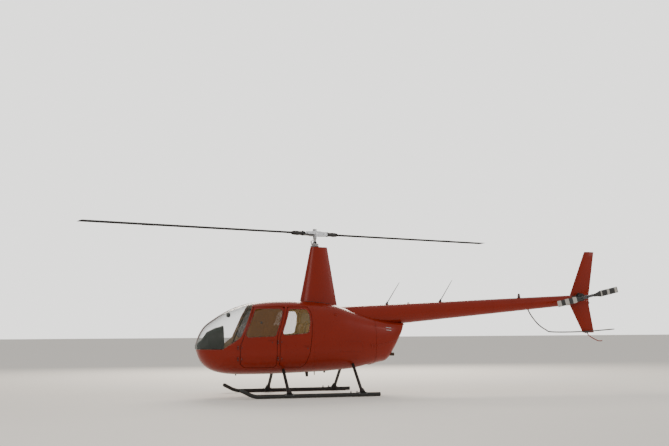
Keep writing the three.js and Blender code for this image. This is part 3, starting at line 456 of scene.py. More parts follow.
def hull(row, turn):
    """A point of the body: a section's own place along x, and across it a superellipse.

    At the polar angle `turn` about the middle of the widest line the radius is
    (|cos / half|^p + |sin / height|^p)^(-1/p), with p and height of the upper or the lower half.
    Rows from -1 to 0 close the nose with a round cap."""
    row, turn = np.broadcast_arrays(np.asarray(row, float), np.asarray(turn, float))
    x, belly, top, half, widest, upper, lower = np.moveaxis(section(row), -1, 0)
    above = np.sin(turn) >= 0
    height = np.where(above, top - widest, widest - belly)
    power = np.where(above, upper, lower)
    cap = np.sqrt(1 - np.clip(-row, 0, 1) ** 2)
    reach = (np.abs(np.cos(turn)) / half) ** power + (np.abs(np.sin(turn)) / height) ** power
    radius = cap * reach ** (-1 / power)
    return np.stack([x - NOSE_BULGE * (1 - cap), radius * np.cos(turn), widest + radius * np.sin(turn)], -1)


def hull_normal(row, turn):
    """The outward direction, from the surface's slopes along and round."""
    step = 1e-3
    inner = np.clip(row, -0.99, LAST_ROW - step)
    along = hull(inner + step, turn) - hull(inner - step, turn)
    around = hull(inner, turn + step) - hull(inner, turn - step)
    pole = np.asarray(row)[..., None] < -0.99
    return np.where(pole, (-1.0, 0.0, 0.0), unit(np.cross(around, along)))


FINE_ROWS = np.linspace(0, LAST_ROW, 2001)
FINE_X = section(FINE_ROWS)[:, 0]


def row_of(x):
    return np.interp(x, FINE_X, FINE_ROWS)


def half_width(x, z):
    """Half the body's width at a place and a height."""
    _, belly, top, half, widest, upper, lower = np.moveaxis(section(row_of(x)), -1, 0)
    above = z > widest
    share = np.where(above, (z - widest) / (top - widest), (widest - z) / (widest - belly))
    power = np.where(above, upper, lower)
    return half * np.maximum(0, 1 - np.abs(share) ** power) ** (1 / power)


def on_side(x, z, side):
    """Points and outward directions on one side of the body, at x and z."""
    x, z = np.broadcast_arrays(np.asarray(x, float), np.asarray(z, float))
    y = side * half_width(x, z)
    widest = section(row_of(x))[..., 4]
    return np.stack([x, y, z], -1), hull_normal(row_of(x), np.arctan2(z - widest, y))


def on_top(x, y, under=False):
    """Points and outward directions on the body's top, or its belly, at x and y."""
    x, y = np.broadcast_arrays(np.asarray(x, float), np.asarray(y, float))
    _, belly, top, half, widest, upper, lower = np.moveaxis(section(row_of(x)), -1, 0)
    power = lower if under else upper
    share = np.maximum(0, 1 - np.abs(y / half) ** power) ** (1 / power)
    z = widest - (widest - belly) * share if under else widest + (top - widest) * share
    return np.stack([x, y, z], -1), hull_normal(row_of(x), np.arctan2(z - widest, y))


# Outlines

def shrunk(outline, distance):
    """The outline with each side moved inwards by the distance."""
    p = np.asarray(outline, float)
    after = np.roll(p, -1, 0)
    area = np.sum(p[:, 0] * after[:, 1] - after[:, 0] * p[:, 1])
    way = unit(after - p)
    inward = np.stack([-way[:, 1], way[:, 0]], -1) * np.sign(area) * distance
    start = p + inward
    before, way_before = np.roll(start, 1, 0), np.roll(way, 1, 0)
    cross = way_before[:, 0] * way[:, 1] - way_before[:, 1] * way[:, 0]
    gap = start - before
    t = (gap[:, 0] * way[:, 1] - gap[:, 1] * way[:, 0]) / cross
    return before + way_before * t[:, None]


def depth_in(x, z, outline, corner=0.0):
    """Distance inside an outline with round corners; negative outside it."""
    a = shrunk(outline, corner) if corner else np.asarray(outline, float)
    b = np.roll(a, -1, 0)
    shift, p = b - a, np.stack([x, z], -1)[..., None, :]
    t = np.clip(((p - a) * shift).sum(-1) / (shift**2).sum(-1), 0, 1)
    distance = np.linalg.norm(p - a - t[..., None] * shift, axis=-1).min(-1)
    rises = (a[:, 1] > p[..., 1]) != (b[:, 1] > p[..., 1])
    height = np.where(rises, b[:, 1] - a[:, 1], 1.0)
    left = p[..., 0] < shift[:, 0] * (p[..., 1] - a[:, 1]) / height + a[:, 0]
    inside = (rises & left).sum(-1) % 2 == 1
    return np.where(inside, distance, -distance) + corner


def outline_path(outline, corner, step):
    """Evenly spaced points along an outline whose corners are arcs; the first is not repeated."""
    inner = shrunk(outline, corner)
    p = np.asarray(outline, float)
    after = np.roll(p, -1, 0)
    area = np.sum(p[:, 0] * after[:, 1] - after[:, 0] * p[:, 1])
    way = unit(after - p)
    out = np.stack([way[:, 1], -way[:, 0]], -1) * np.sign(area)
    angle = np.arctan2(out[:, 1], out[:, 0])
    start = np.roll(angle, 1)
    bend = (angle - start + np.pi) % (2 * np.pi) - np.pi
    turn = start[:, None] + bend[:, None] * np.linspace(0, 1, 9)
    points = (inner[:, None] + corner * np.stack([np.cos(turn), np.sin(turn)], -1)).reshape(-1, 2)
    loop = np.concatenate([points, points[:1]])
    run = length_along(loop)
    at = np.linspace(0, run[-1], max(8, int(run[-1] / step)), endpoint=False)
    return np.stack([np.interp(at, run, loop[:, 0]), np.interp(at, run, loop[:, 1])], -1)


def bead(points, normals, outline, closed=False):
    """A strip along places of the skin, from the (across, out) offsets of its closed section."""
    slope = np.roll(points, -1, 0) - np.roll(points, 1, 0) if closed else np.gradient(points, axis=0)
    across = np.cross(normals, unit(slope))
    offsets = np.asarray(outline, float)
    rings = points[:, None] + offsets[None, :, :1] * across[:, None] + offsets[None, :, 1:] * normals[:, None]
    made = grid(np.concatenate([rings, rings[:1]]) if closed else rings, caps=not closed)
    return welded(outward(made))


def half_round(width, height):
    """A strip's section: half an ellipse that stands out, with its foot sunk in the skin."""
    turn = np.linspace(0, np.pi, 8)
    crown = np.stack([np.cos(turn) * width / 2, np.sin(turn) * height], -1)
    return np.concatenate([[(width / 2, -STRIP_SUNK)], crown, [(-width / 2, -STRIP_SUNK)]])


def skin_line(points):
    """Places and outward directions about 15 mm apart, along the left side between the given x, z."""
    p = np.asarray(points, float)
    run = length_along(p)
    at = np.linspace(0, run[-1], max(3, int(run[-1] / 0.015) + 1))
    return on_side(np.interp(at, run, p[:, 0]), np.interp(at, run, p[:, 1]), -1)


def side_ring(outline, corner, side):
    """The same about 14 mm apart, round a closed outline with round corners on either side."""
    flat = outline_path(outline, corner, 0.014)
    return on_side(flat[:, 0], flat[:, 1], side)


def outward(one):
    """The closed shape, its faces turned over where the volume summed over them isn't positive."""
    p = one["points"]
    tris = np.concatenate([one["quads"][:, [0, 1, 2]], one["quads"][:, [0, 2, 3]], one["tris"]])
    a, b, c = (p[tris[:, k]] - p.mean(0) for k in range(3))
    if float(np.einsum("ij,ij->", a, np.cross(b, c))) > 0:
        return one
    return {**one, "quads": one["quads"][:, ::-1], "tris": one["tris"][:, ::-1]}


def welded(one):
    """The shape with points that coincide merged, and faces that lost a side made triangles."""
    _, first, inverse = np.unique(np.round(one["points"] / SAME_PLACE).astype(np.int64), axis=0,
                                  return_index=True, return_inverse=True)
    inverse = inverse.ravel()
    quads, tris = inverse[one["quads"]], inverse[one["tris"]]
    same = quads == np.roll(quads, -1, 1)
    whole, once = same.sum(1) == 0, same.sum(1) == 1
    lost = np.argmax(same[once], 1)
    narrow = np.take_along_axis(quads[once], (lost[:, None] + np.arange(1, 4)) % 4, 1)
    real = (tris != np.roll(tris, -1, 1)).all(1)
    return {
        **one, "points": one["points"][first], "uv": one["uv"][first],
        "normals": None if one["normals"] is None else one["normals"][first],
        "quads": quads[whole], "tris": np.concatenate([tris[real], narrow]),
        "quad_finish": one["quad_finish"][whole],
        "tri_finish": np.concatenate([one["tri_finish"][real], one["quad_finish"][once]]),
    }


# Panels cut from the body's surface

BODY_GIRTH = 4.6  # about the longest way round the cabin
EDGE_HALVINGS = 14  # of a cell's side, which finds a cut edge to about 5 micrometres
SLOPE_STEP = 2e-4


def spaced_rows(cell):
    """Rows about one cell apart, measured along the top, the belly and the side."""
    fine = np.linspace(-1.0, LAST_ROW, 4001)
    steps = [np.linalg.norm(np.diff(hull(fine, np.full_like(fine, a)), axis=0), axis=1)
             for a in (0, 1.57, -1.57)]
    run = np.concatenate([[0], np.cumsum(np.max(steps, 0))])
    return np.interp(np.linspace(0, run[-1], int(run[-1] / cell) + 1), run, fine)


def clipped(corners, value):
    """Grid cells cut along the zero line of a value, kept where it is positive.

    A cell with all corners inside stays a quad. Others are halved into triangles; one corner inside
    leaves a triangle, two leave a quad. Returns quads, triangles and the (inside, outside) pairs of
    the cut sides, whose points are numbered on after the grid's."""
    total = len(value)
    inside = value[corners] > 0
    count = inside.sum(1)
    whole = corners[count == 4]
    mixed = corners[(count > 0) & (count < 4)]
    halves = np.concatenate([mixed[:, [0, 1, 2]], mixed[:, [0, 2, 3]]])
    held = value[halves] > 0
    count = held.sum(1)
    rolled = lambda part, first: np.take_along_axis(part, (first[:, None] + np.arange(3)) % 3, 1)
    one = rolled(halves[count == 1], np.argmax(held[count == 1], 1))
    two = rolled(halves[count == 2], np.argmin(held[count == 2], 1))
    pairs = np.concatenate([one[:, [0, 1]], one[:, [0, 2]], two[:, [1, 0]], two[:, [2, 0]]])
    unique, number = np.unique(pairs[:, 0] * total + pairs[:, 1], return_inverse=True)
    n, m = len(one), len(two)
    cut = total + number.ravel()
    tris = np.concatenate([halves[count == 3], np.stack([one[:, 0], cut[:n], cut[n:2 * n]], -1)])
    wide = np.stack([cut[2 * n:2 * n + m], two[:, 1], two[:, 2], cut[2 * n + m:]], -1)
    quads = np.concatenate([whole, wide])
    return quads, tris, np.stack([unique // total, unique % total], -1)


def panel(keep, wall=WALL, cell=0.018, lip=0.003, lift=0.0, rows=None):
    """The part of the body's skin where keep(points) is positive, as a closed plate with round lips.

    The surface is sampled on rows by polar angles and cut along keep = lip. From the cut edge a
    quarter circle of radius lip leads outwards and down, the edge goes straight in through the wall,
    and a second quarter circle leads back to the inner face, which is the outer one moved in and has
    finish 1."""
    rows = spaced_rows(cell) if rows is None else rows
    sides = int(BODY_GIRTH / cell)
    turns = circle(sides, -np.pi)
    r, t = (a.ravel() for a in np.meshgrid(rows, turns, indexing="ij"))
    value = keep(hull(r, t)) - lip
    quads, tris, pairs = clipped(cells(len(rows), sides), value)
    near, far = pairs.T
    turn_step = (t[far] - t[near] + np.pi) % (2 * np.pi) - np.pi
    low, high = np.zeros(len(near)), np.ones(len(near))
    for _ in range(EDGE_HALVINGS):
        middle = (low + high) / 2
        held = keep(hull(r[near] + (r[far] - r[near]) * middle, t[near] + turn_step * middle)) > lip
        low, high = np.where(held, middle, low), np.where(held, high, middle)
    r = np.concatenate([r, r[near] + (r[far] - r[near]) * low])
    t = np.concatenate([t, t[near] + turn_step * low])
    used, number = np.unique(np.concatenate([quads.ravel(), tris.ravel()]), return_inverse=True)
    number = number.ravel()
    quads, tris = number[:quads.size].reshape(-1, 4), number[quads.size:].reshape(-1, 3)
    r, t = r[used], t[used]
    normals = hull_normal(r, t)
    outer = hull(r, t) + lift * normals
    # The wall is thinner where the body is narrow, as at the nose's tip
    thin = wall * np.clip(section(r)[:, 3] / 0.2, 0.12, 1)

    ends = np.concatenate([quads.ravel(), tris.ravel()])
    nexts = np.concatenate([np.roll(quads, -1, 1).ravel(), np.roll(tris, -1, 1).ravel()])
    _, back, times = np.unique(np.minimum(ends, nexts) * len(used) + np.maximum(ends, nexts),
                               return_inverse=True, return_counts=True)
    single = times[back.ravel()] == 1
    start, end = ends[single], nexts[single]
    border, local = np.unique(np.concatenate([start, end]), return_inverse=True)
    local = local.ravel()
    p, n = outer[border], normals[border]
    axes = np.eye(3) * SLOPE_STEP
    slope = np.stack([keep(p + a) - keep(p - a) for a in axes], -1)
    slope -= (slope * n).sum(-1, keepdims=True) * n
    out = -unit(slope)
    quarter = np.linspace(0, np.pi / 2, 4)[1:]
    depth = thin[border][:, None]
    rings = [(out * np.sin(a) * lip - n * (1 - np.cos(a)) * lip, n * np.cos(a) + out * np.sin(a))
             for a in quarter]
    rings += [(out * np.cos(a) * lip - n * (depth - lip * (1 - np.sin(a))), out * np.cos(a) - n * np.sin(a))
              for a in (0, np.pi / 4)]
    count, edge = len(outer), len(border)
    points = [outer, outer - normals * thin[:, None]] + [p + offset for offset, _ in rings]
    ring_normals = [normals, -normals] + [unit(direction) for _, direction in rings]
    base = [border] + [2 * count + edge * k + np.arange(edge) for k in range(len(rings))] + [border + count]
    first, second = local[:len(start)], local[len(start):]
    rim = np.concatenate([np.stack([b[second], b[first], c[first], c[second]], -1)
                          for b, c in zip(base, base[1:])])
    made = shape(
        np.concatenate(points),
        np.concatenate([quads, rim, quads[:, ::-1] + count]),
        np.concatenate([tris, tris[:, ::-1] + count]),
        normals=np.concatenate(ring_normals),
    )
    made["quad_finish"] = np.repeat((0, 0, 1), [len(quads), len(rim), len(quads)])
    made["tri_finish"] = np.repeat((0, 1), [len(tris), len(tris)])
    return welded(made)


# Materials

class Finish:
    """A procedural material: one shader with the nodes that feed its colour, roughness and bump."""

    def __init__(self, name, color, roughness=0.5, metallic=0.0, **settings):
        self.material = bpy.data.materials.new(name)
        self.material.use_nodes = True
        self.tree = self.material.node_tree
        self.shader = self.tree.nodes["Principled BSDF"]
        self.shader.inputs["Base Color"].default_value = (*color, 1)
        self.shader.inputs["Roughness"].default_value = roughness
        self.shader.inputs["Metallic"].default_value = metallic
        for key, value in settings.items():
            self.shader.inputs[key.replace("_", " ")].default_value = value
        self.color, self.roughness = color, roughness
        self.height = None

    def node(self, kind, **inputs):
        made = self.tree.nodes.new("ShaderNode" + kind)
        for key, value in inputs.items():
            socket = made.inputs[int(key[1:])] if key[0] == "i" and key[1:].isdigit() else made.inputs[key]
            if isinstance(value, bpy.types.NodeSocket):
                self.tree.links.new(value, socket)
            else:
                socket.default_value = value
        return made

    def place(self, scale=(1, 1, 1)):
        """Object coordinates, scaled."""
        source = self.node("TexCoord").outputs["Object"]
        return self.node("Mapping", Vector=source, Scale=scale).outputs["Vector"]

    def along(self, which):
        """The piece's own length along, X, or length round, Y."""
        source = self.node("UVMap")
        source.uv_map = "along"
        return self.node("SeparateXYZ", Vector=source.outputs["UV"]).outputs[which]

    def noise(self, size, detail=4.0, rough=0.55, stretch=(1, 1, 1)):
        """Soft noise whose patches are about `size` metres."""
        made = self.node("TexNoise", Vector=self.place(stretch), Scale=1 / size, Detail=detail,
                         Roughness=rough)
        return made.outputs["Fac"]

    def ramp(self, value, low, high, to_low=0.0, to_high=1.0):
        made = self.node("MapRange", i0=value, i1=low, i2=high, i3=to_low, i4=to_high)
        return made.outputs[0]

    def math(self, operation, a, b=0.0):
        made = self.node("Math", i0=a, i1=b)
        made.operation = operation
        return made.outputs[0]

    def mix(self, share, first, second):
        made = self.node("Mix")
        made.data_type = "RGBA"
        for socket, value in ((made.inputs[0], share), (made.inputs[6], first), (made.inputs[7], second)):
            if isinstance(value, bpy.types.NodeSocket):
                self.tree.links.new(value, socket)
            else:
                socket.default_value = value if isinstance(value, float) else (*value, 1)
        return made.outputs[2]

    def paint(self, share, other):
        """Another colour over the present one, by share."""
        socket = self.shader.inputs["Base Color"]
        present = socket.links[0].from_socket if socket.links else self.color
        self.tree.links.new(self.mix(share, present, other), socket)
        return self

    def rough(self, value, low, high):
        self.tree.links.new(self.ramp(value, 0.3, 0.7, low, high), self.shader.inputs["Roughness"])
        return self

    def bump(self, value, distance, strength=1.0):
        """Height of the value in metres, over what bump there is."""
        made = self.node("Bump", Strength=strength, Distance=distance, Height=value)
        if self.height is not None:
            self.tree.links.new(self.height, made.inputs["Normal"])
        self.height = made.outputs["Normal"]
        self.tree.links.new(self.height, self.shader.inputs["Normal"])
        return self

    def axis(self, name, low, high):
        """0 to 1 along an axis of the object, between two places."""
        split = self.node("SeparateXYZ", Vector=self.node("TexCoord").outputs["Object"])
        return self.ramp(split.outputs[name], low, high)


def enamel(name, color, dusty):
    """Glossy enamel: patches of slightly different depth, orange peel, uneven gloss, dust below."""
    f = Finish(name, color, 0.32, 0.0, Coat_Weight=0.12, Coat_Roughness=0.06, Specular_IOR_Level=0.2)
    f.paint(f.ramp(f.noise(0.55, 3), 0.35, 0.7, 0, 0.35), tuple(0.78 * c for c in color))
    f.paint(f.ramp(f.noise(0.09, 5), 0.5, 0.75, 0, 0.10), tuple(min(1, 1.25 * c) for c in color))
    f.paint(f.math("MULTIPLY", f.axis("Z", 0.75, 0.42), f.ramp(f.noise(0.05, 6), 0.35, 0.65, 0, 0.08)), dusty)
    f.rough(f.noise(0.03, 6), 0.26, 0.38)
    return f.bump(f.noise(0.006, 2), 0.0001, 0.3).bump(f.noise(0.35, 2), 0.003, 0.2)


def coated_metal(name, color, worn, wear=0.25, roughness=0.38, metallic=0.2, grain=0.004):
    """Satin coated metal: worn to bare metal in small patches, with a fine grain."""
    f = Finish(name, color, roughness, metallic)
    f.paint(f.ramp(f.noise(0.12, 4), 0.4, 0.7, 0, 0.4), tuple(1.6 * c + 0.006 for c in color))
    f.paint(f.ramp(f.noise(0.012, 8, 0.7), 0.66, 0.74, 0, wear), worn)
    f.rough(f.noise(0.02, 5), roughness - 0.1, roughness + 0.14)
    return f.bump(f.noise(grain, 3), 0.0003, 0.5)


def bare_metal(name, color, roughness=0.3, streak=(1, 1, 1), stain=(0.08, 0.06, 0.04), stained=0.25):
    """Machined or cast metal with streaks along one way and a few dull stains."""
    f = Finish(name, color, roughness, 1.0)
    f.paint(f.ramp(f.noise(0.05, 5), 0.5, 0.72, 0, stained), stain)
    f.rough(f.noise(0.01, 4, stretch=streak), roughness - 0.1, roughness + 0.12)
    return f.bump(f.noise(0.003, 2, stretch=streak), 0.0002, 0.5)


def moulded(name, color, grain=0.0015, roughness=0.6, lift=0.0004):
    """Moulded plastic, rubber or vinyl with a pebbled grain and scuffs."""
    f = Finish(name, color, roughness)
    f.paint(f.ramp(f.noise(0.07, 5), 0.45, 0.75, 0, 0.4), tuple(1.5 * c + 0.01 for c in color))
    f.rough(f.noise(0.03, 5), roughness - 0.1, roughness + 0.12)
    pebbles = f.node("TexVoronoi", Vector=f.place(), Scale=1 / grain).outputs["Distance"]
    return f.bump(pebbles, lift, 0.5)


def pane(name, tint, base_alpha):
    """Clear acrylic: see-through from the front, mirror-like at a glance, faintly wiped."""
    f = Finish(name, tint, 0.03, 0.0)
    f.shader.inputs["IOR"].default_value = 1.5
    facing = f.node("LayerWeight", Blend=0.35).outputs["Facing"]
    f.tree.links.new(f.ramp(f.math("POWER", facing, 2.2), 0, 1, base_alpha, 0.92), f.shader.inputs["Alpha"])
    f.paint(f.ramp(f.noise(0.3, 4), 0.5, 0.8, 0, 0.3), tuple(min(1, 1.8 * c + 0.02) for c in tint))
    f.rough(f.noise(0.08, 6), 0.02, 0.07)
    return f.bump(f.noise(0.4, 1), 0.0008, 0.15)


DUST = (0.30, 0.22, 0.15)
BODY_RED = (0.195, 0.010, 0.0006)
STEEL_GREY = (0.42, 0.42, 0.43)
body_paint = enamel("body_enamel", BODY_RED, DUST).material
# The lining is a tan vinyl made lighter than its own colour, as painted light for the sun that falls inside
# the cabin
lining_painted_light = moulded("cabin_lining_painted_light", (0.62, 0.46, 0.28), 0.002, 0.75).material
bay_inside = coated_metal("bay_primer", (0.10, 0.11, 0.08), STEEL_GREY, 0.1, 0.55).material
windshield_acrylic = pane("windshield_acrylic", (0.10, 0.12, 0.11), 0.10).material
# The front windows' acrylic is dark brown and mostly opaque, a painted shade of the cabin behind it; the rear
# windows have a light amber tint that lets the cabin show
door_acrylic = {"front": pane("front_window_acrylic_painted_shade", (0.11, 0.048, 0.010), 0.80).material,
                "rear": pane("rear_window_acrylic", (0.36, 0.24, 0.09), 0.20).material}
rubber = moulded("seal_rubber", (0.018, 0.018, 0.018), 0.003, 0.62).material
gear_black = coated_metal("gear_black", (0.014, 0.013, 0.012), STEEL_GREY, 0.35).material
steel = bare_metal("satin_steel", (0.36, 0.36, 0.37), 0.32).material
bright_steel = bare_metal("bright_fasteners", (0.62, 0.62, 0.63), 0.25, stained=0.12).material
knob_black = moulded("knob_black", (0.022, 0.022, 0.022), 0.002, 0.45).material
slot_dark = moulded("slot_shadow", (0.02, 0.02, 0.02), 0.004, 0.7).material


# Cabin skin and cowls

def outside_doors(p):
    """Positive outside the four door openings."""
    openings = [depth_in(p[:, 0], p[:, 2], outline, OPENING_CORNER) for _, outline, _ in DOORS]
    return np.maximum(-np.maximum(*openings), OPENING_FROM - np.abs(p[:, 1]))


def outside_windshield(p):
    return -depth_in(p[:, 0], p[:, 2], WINDSHIELD, WINDSHIELD_CORNER)


def keep_cabin(p):
    strip = np.minimum(STRIP_HALF - np.abs(p[:, 1]), p[:, 2] - 1.0)
    walls = np.minimum(outside_doors(p), np.maximum(outside_windshield(p), strip))
    return np.minimum(walls, BULKHEAD_X - p[:, 0])


def keep_door(outline, window, side):
    def keep(p):
        skin = depth_in(p[:, 0], p[:, 2], shrunk(outline, DOOR_GAP), DOOR_CORNER)
        hole = depth_in(p[:, 0], p[:, 2], window, WINDOW_CORNER)
        return np.minimum(np.minimum(skin, -hole), side * p[:, 1] - DOORS_FROM)
    return keep


def keep_window(window, side):
    def keep(p):
        return np.minimum(depth_in(p[:, 0], p[:, 2], window, WINDOW_CORNER) - GLASS_GAP,
                          side * p[:, 1] - DOORS_FROM)
    return keep


def keep_windshield(side):
    def keep(p):
        return np.minimum(-outside_windshield(p) - GLASS_GAP, side * p[:, 1] - STRIP_HALF - GLASS_GAP)
    return keep


def keep_jamb(outline, outside, inside, side):
    """A band along a door opening, from a distance outside its edge to one inside it."""
    def keep(p):
        depth = depth_in(p[:, 0], p[:, 2], outline, OPENING_CORNER)
        return np.minimum(np.minimum(depth + outside, inside - depth), side * p[:, 1] - OPENING_FROM)
    return keep


piece("cabin_skin", panel(keep_cabin, cell=0.020), [body_paint, lining_painted_light],
      replaces=["cabin_shell", "roof_shell"])
for side_name, side in SIDES:
    piece(f"windshield_pane_{side_name}", panel(keep_windshield(side), GLASS_WALL, 0.022, 0.001),
          windshield_acrylic, replaces=[f"windshield_{side_name}"])
    for place, outline, window in DOORS:
        door = f"door_{place}_{side_name}"
        root = panel(keep_jamb(outline, 0.016, -0.002, side), 0.012, 0.014, 0.001, -0.0275)
        flange = panel(keep_jamb(outline, 0.005, 0.014, side), 0.005, 0.014, 0.001, -0.0345)
        piece(f"{door}_jamb", join(root, finished(flange, 2)), [body_paint, lining_painted_light, rubber])
        piece(f"{door}_skin", panel(keep_door(outline, window, side), cell=0.014), [body_paint, lining_painted_light],
              door, replaces=[door])
        piece(f"window_pane_{place}_{side_name}", panel(keep_window(window, side), GLASS_WALL, 0.018, 0.001),
              door_acrylic[place], door, replaces=[f"window_{place}_{side_name}"])


# Door hardware, window frames and the windshield's edge

# Place of each hinge line, and the heights of the door's knuckles on it
HINGES = {"front": (-1.606, (0.720, 0.930)), "rear": (-0.851, (0.720, 1.030))}
KNUCKLE_HALF = 0.0096
LEAF_HALF = 0.0035
HANDLES = {"front": (-1.010, 1.068), "rear": (-0.320, 0.945)}


def hinge_leaf(x, z, side, way):
    """A knuckle on the hinge line and the leaf that leads from it into the skin, with two screws."""
    y = side * (float(section(row_of(x))[3]) + 0.012)
    low, high = z - KNUCKLE_HALF, z + KNUCKLE_HALF
    foot, end = x + way * 0.024, x + way * 0.046
    inner = side * (float(half_width(end, z)) - 0.012)
    screws = scattered(bolt_head(0.0028, 0.0016), [(x + way * 0.035, y + side * LEAF_HALF, z + a)
                                                   for a in (-0.0052, 0.0052)], [(0, side, 0)] * 2)
    return join(rod((x, y, low), (x, y, high), 0.009),
                block(*sorted((x, end)), y - LEAF_HALF, y + LEAF_HALF, low, high),
                block(*sorted((foot, end)), *sorted((inner, y + side * LEAF_HALF)), low, high),
                finished(screws, 1))


def door_handle(x, z, side):
    """A grip bar on two posts that stands off the door, with a key lock under it."""
    outside = float(half_width(x, z)) + 0.0125
    bar = sweep(line((x - 0.0515, side * outside, z), (x + 0.0515, side * outside, z), steps=12),
                box_outline(0.007, 0.018, 0.003), (0, 0, 1), [0.75] + [1] * 10 + [0.75])
    posts = [rod((x + a, side * (outside - 0.020), z), (x + a, side * outside, z), 0.0055)
             for a in (-0.0455, 0.0455)]
    (point,), (normal,) = on_side([x + 0.02], [z - 0.045], side)
    lock = turned(point, normal, (0.011, -0.001), (0.011, 0.0015), (0.0075, 0.003), (0.0065, 0.0015),
                  sides=20)
    return join(outward(bar), *posts, finished(lock, 2))


def window_frame(window, side):
    """A retainer strip round a window, its rubber edge on the joint, and its screws."""
    strip, edge = (side_ring(shrunk(window, -out), WINDOW_CORNER + out, side) for out in (0.011, 0.0012))
    screws = scattered(rivet(0.0026), strip[0][::5] + strip[1][::5] * 0.0017, strip[1][::5])
    return join(bead(*strip, half_round(0.015, 0.0018), True),
                finished(bead(*edge, half_round(0.005, 0.0022), True), 1), finished(screws, 2))


for side_name, side in SIDES:
    for place, _, window in DOORS:
        door = f"door_{place}_{side_name}"
        (x, heights), (grip_x, grip_z) = HINGES[place], HANDLES[place]
        moving = [hinge_leaf(x, z, side, 1) for z in heights]
        fixed = [hinge_leaf(x, z + a, side, -1) for z in heights for a in (-0.020, 0.020)]
        piece(f"{door}_hardware", join(*moving, door_handle(grip_x, grip_z, side)),
              [body_paint, steel, slot_dark], door, bevel=0.0008)
        piece(f"{door}_fixed_leaves", join(*fixed), [body_paint, steel], bevel=0.0008)
        piece(f"window_frame_{place}_{side_name}", window_frame(window, side),
              [body_paint, rubber, bright_steel], door)
    (point,), (normal,) = on_side([-1.194], [1.400], side)
    vent = turned(point, normal, (0.020, -0.001), (0.020, 0.002), (0.012, 0.003), (0.010, 0.007), sides=28)
    piece(f"window_vent_{side_name}", vent, knob_black, f"door_front_{side_name}")

EDGE = [(-2.280, 0.887), (-1.918, 0.887), (-1.806, 0.961), (-1.673, 1.039), (-1.567, 1.131), (-1.469, 1.357),
        (-1.388, 1.561), (-1.309, 1.742)]
edge_strip = skin_line(EDGE)
strip_x = np.arange(-2.240, -1.270, 0.060)
centre_screws = [on_top(strip_x, np.full(len(strip_x), y)) for y in (-0.0095, 0.0095)]
edge_screws = scattered(rivet(0.003), edge_strip[0][::5] + edge_strip[1][::5] * 0.0016, edge_strip[1][::5])
screws = join(both(edge_screws), *[scattered(rivet(0.0026), *places) for places in centre_screws])
piece("windshield_edge_strip", join(both(bead(*edge_strip, half_round(0.018, 0.0018))), finished(screws, 1)),
      [body_paint, bright_steel])

lamps = []
for turn in (-math.pi / 2 - 0.24, -math.pi / 2 + 0.24):
    point, normal = hull(row_of(-2.262), turn), hull_normal(row_of(-2.262), turn)
    lamps += [lathe([(0.040, -0.014), (0.041, 0.001), (0.036, 0.003), (0.034, 0.0005)], point, normal, 36),
              finished(turned(point, normal, (0.0345, -0.002), (0.0345, 0.001), (0.026, 0.0028),
                              (0.010, 0.004), sides=36), 1)]
studs = [turned((-2.374, y, z), (-1, 0, 0), (0.011, -0.010), (0.011, 0.004), (0.006, 0.008), sides=16)
         for y, z in ((0.0, 0.975), (0.0, 0.925))]
lamp_glass = Finish("lamp_lens", (0.22, 0.22, 0.21), 0.10, 0.0, Coat_Weight=1.0)
lamp_glass.paint(lamp_glass.ramp(lamp_glass.noise(0.02), 0.4, 0.7), (0.14, 0.14, 0.135))
lamp_glass.bump(lamp_glass.node("TexWave", Vector=lamp_glass.place(), Scale=50.0).outputs["Fac"], 0.0008, 0.5)
piece("landing_lights", join(*lamps, finished(join(*studs), 2)), [body_paint, lamp_glass.material, rubber])


# Tailcone and cowls

CONE = {"front": 0.460, "rear": 5.660, "front_radius": 0.235, "rear_radius": 0.104, "front_z": 1.483,
        "rear_z": 1.862}


def cone_at(x):
    """The tailcone's radius and centre height."""
    t = (np.asarray(x, float) - CONE["front"]) / (CONE["rear"] - CONE["front"])
    return (CONE["front_radius"] + (CONE["rear_radius"] - CONE["front_radius"]) * t,
            CONE["front_z"] + (CONE["rear_z"] - CONE["front_z"]) * t)


def outside_cone(p):
    radius, z = cone_at(p[:, 0])
    return np.hypot(p[:, 1], p[:, 2] - z) - radius


BELLY_OPENING = ((0.200, -0.250), (1.090, -0.250), (1.090, 0.250), (0.200, 0.250))


def outside_belly(p):
    hole = depth_in(p[:, 0], p[:, 1], BELLY_OPENING, 0.05)
    return np.maximum(-hole, p[:, 2] - 0.76)


def keep_engine_cowl(p):
    span = np.minimum(p[:, 0] - BULKHEAD_X - 0.0003, COWL_JOINT_X - 0.0015 - p[:, 0])
    return np.minimum(np.minimum(span, outside_cone(p)), outside_belly(p))


def keep_tail_cowl(p):
    pipe = np.hypot(p[:, 1] - PIPE_Y, p[:, 2] - 0.767) - 0.040
    hole = np.where(p[:, 0] > 1.3, pipe, 1.0)
    span = np.minimum(p[:, 0] - COWL_JOINT_X - 0.0015, 1.783 - p[:, 0])
    return np.minimum(np.minimum(span, outside_cone(p)), hole)


for name, keep in (("engine_cowl", keep_engine_cowl), ("tail_cowl", keep_tail_cowl)):
    piece(f"{name}_skin", panel(keep, cell=0.020), [body_paint, bay_inside],
          replaces=[name])

cone_x = np.linspace(CONE["front"], CONE["rear"], 80)
cone_radius, cone_z = cone_at(cone_x)
cone_path = np.stack([cone_x, np.zeros(80), cone_z], -1)
piece("tailcone_skin", tube(cone_path, cone_radius, 96), body_paint, replaces=["tailcone"])


# Rivets, studs and small fittings on the cowls, cone and belly

def on_left(points, width, height):
    """A half-round strip on the left of the body."""
    return bead(*skin_line(points), half_round(width, height))


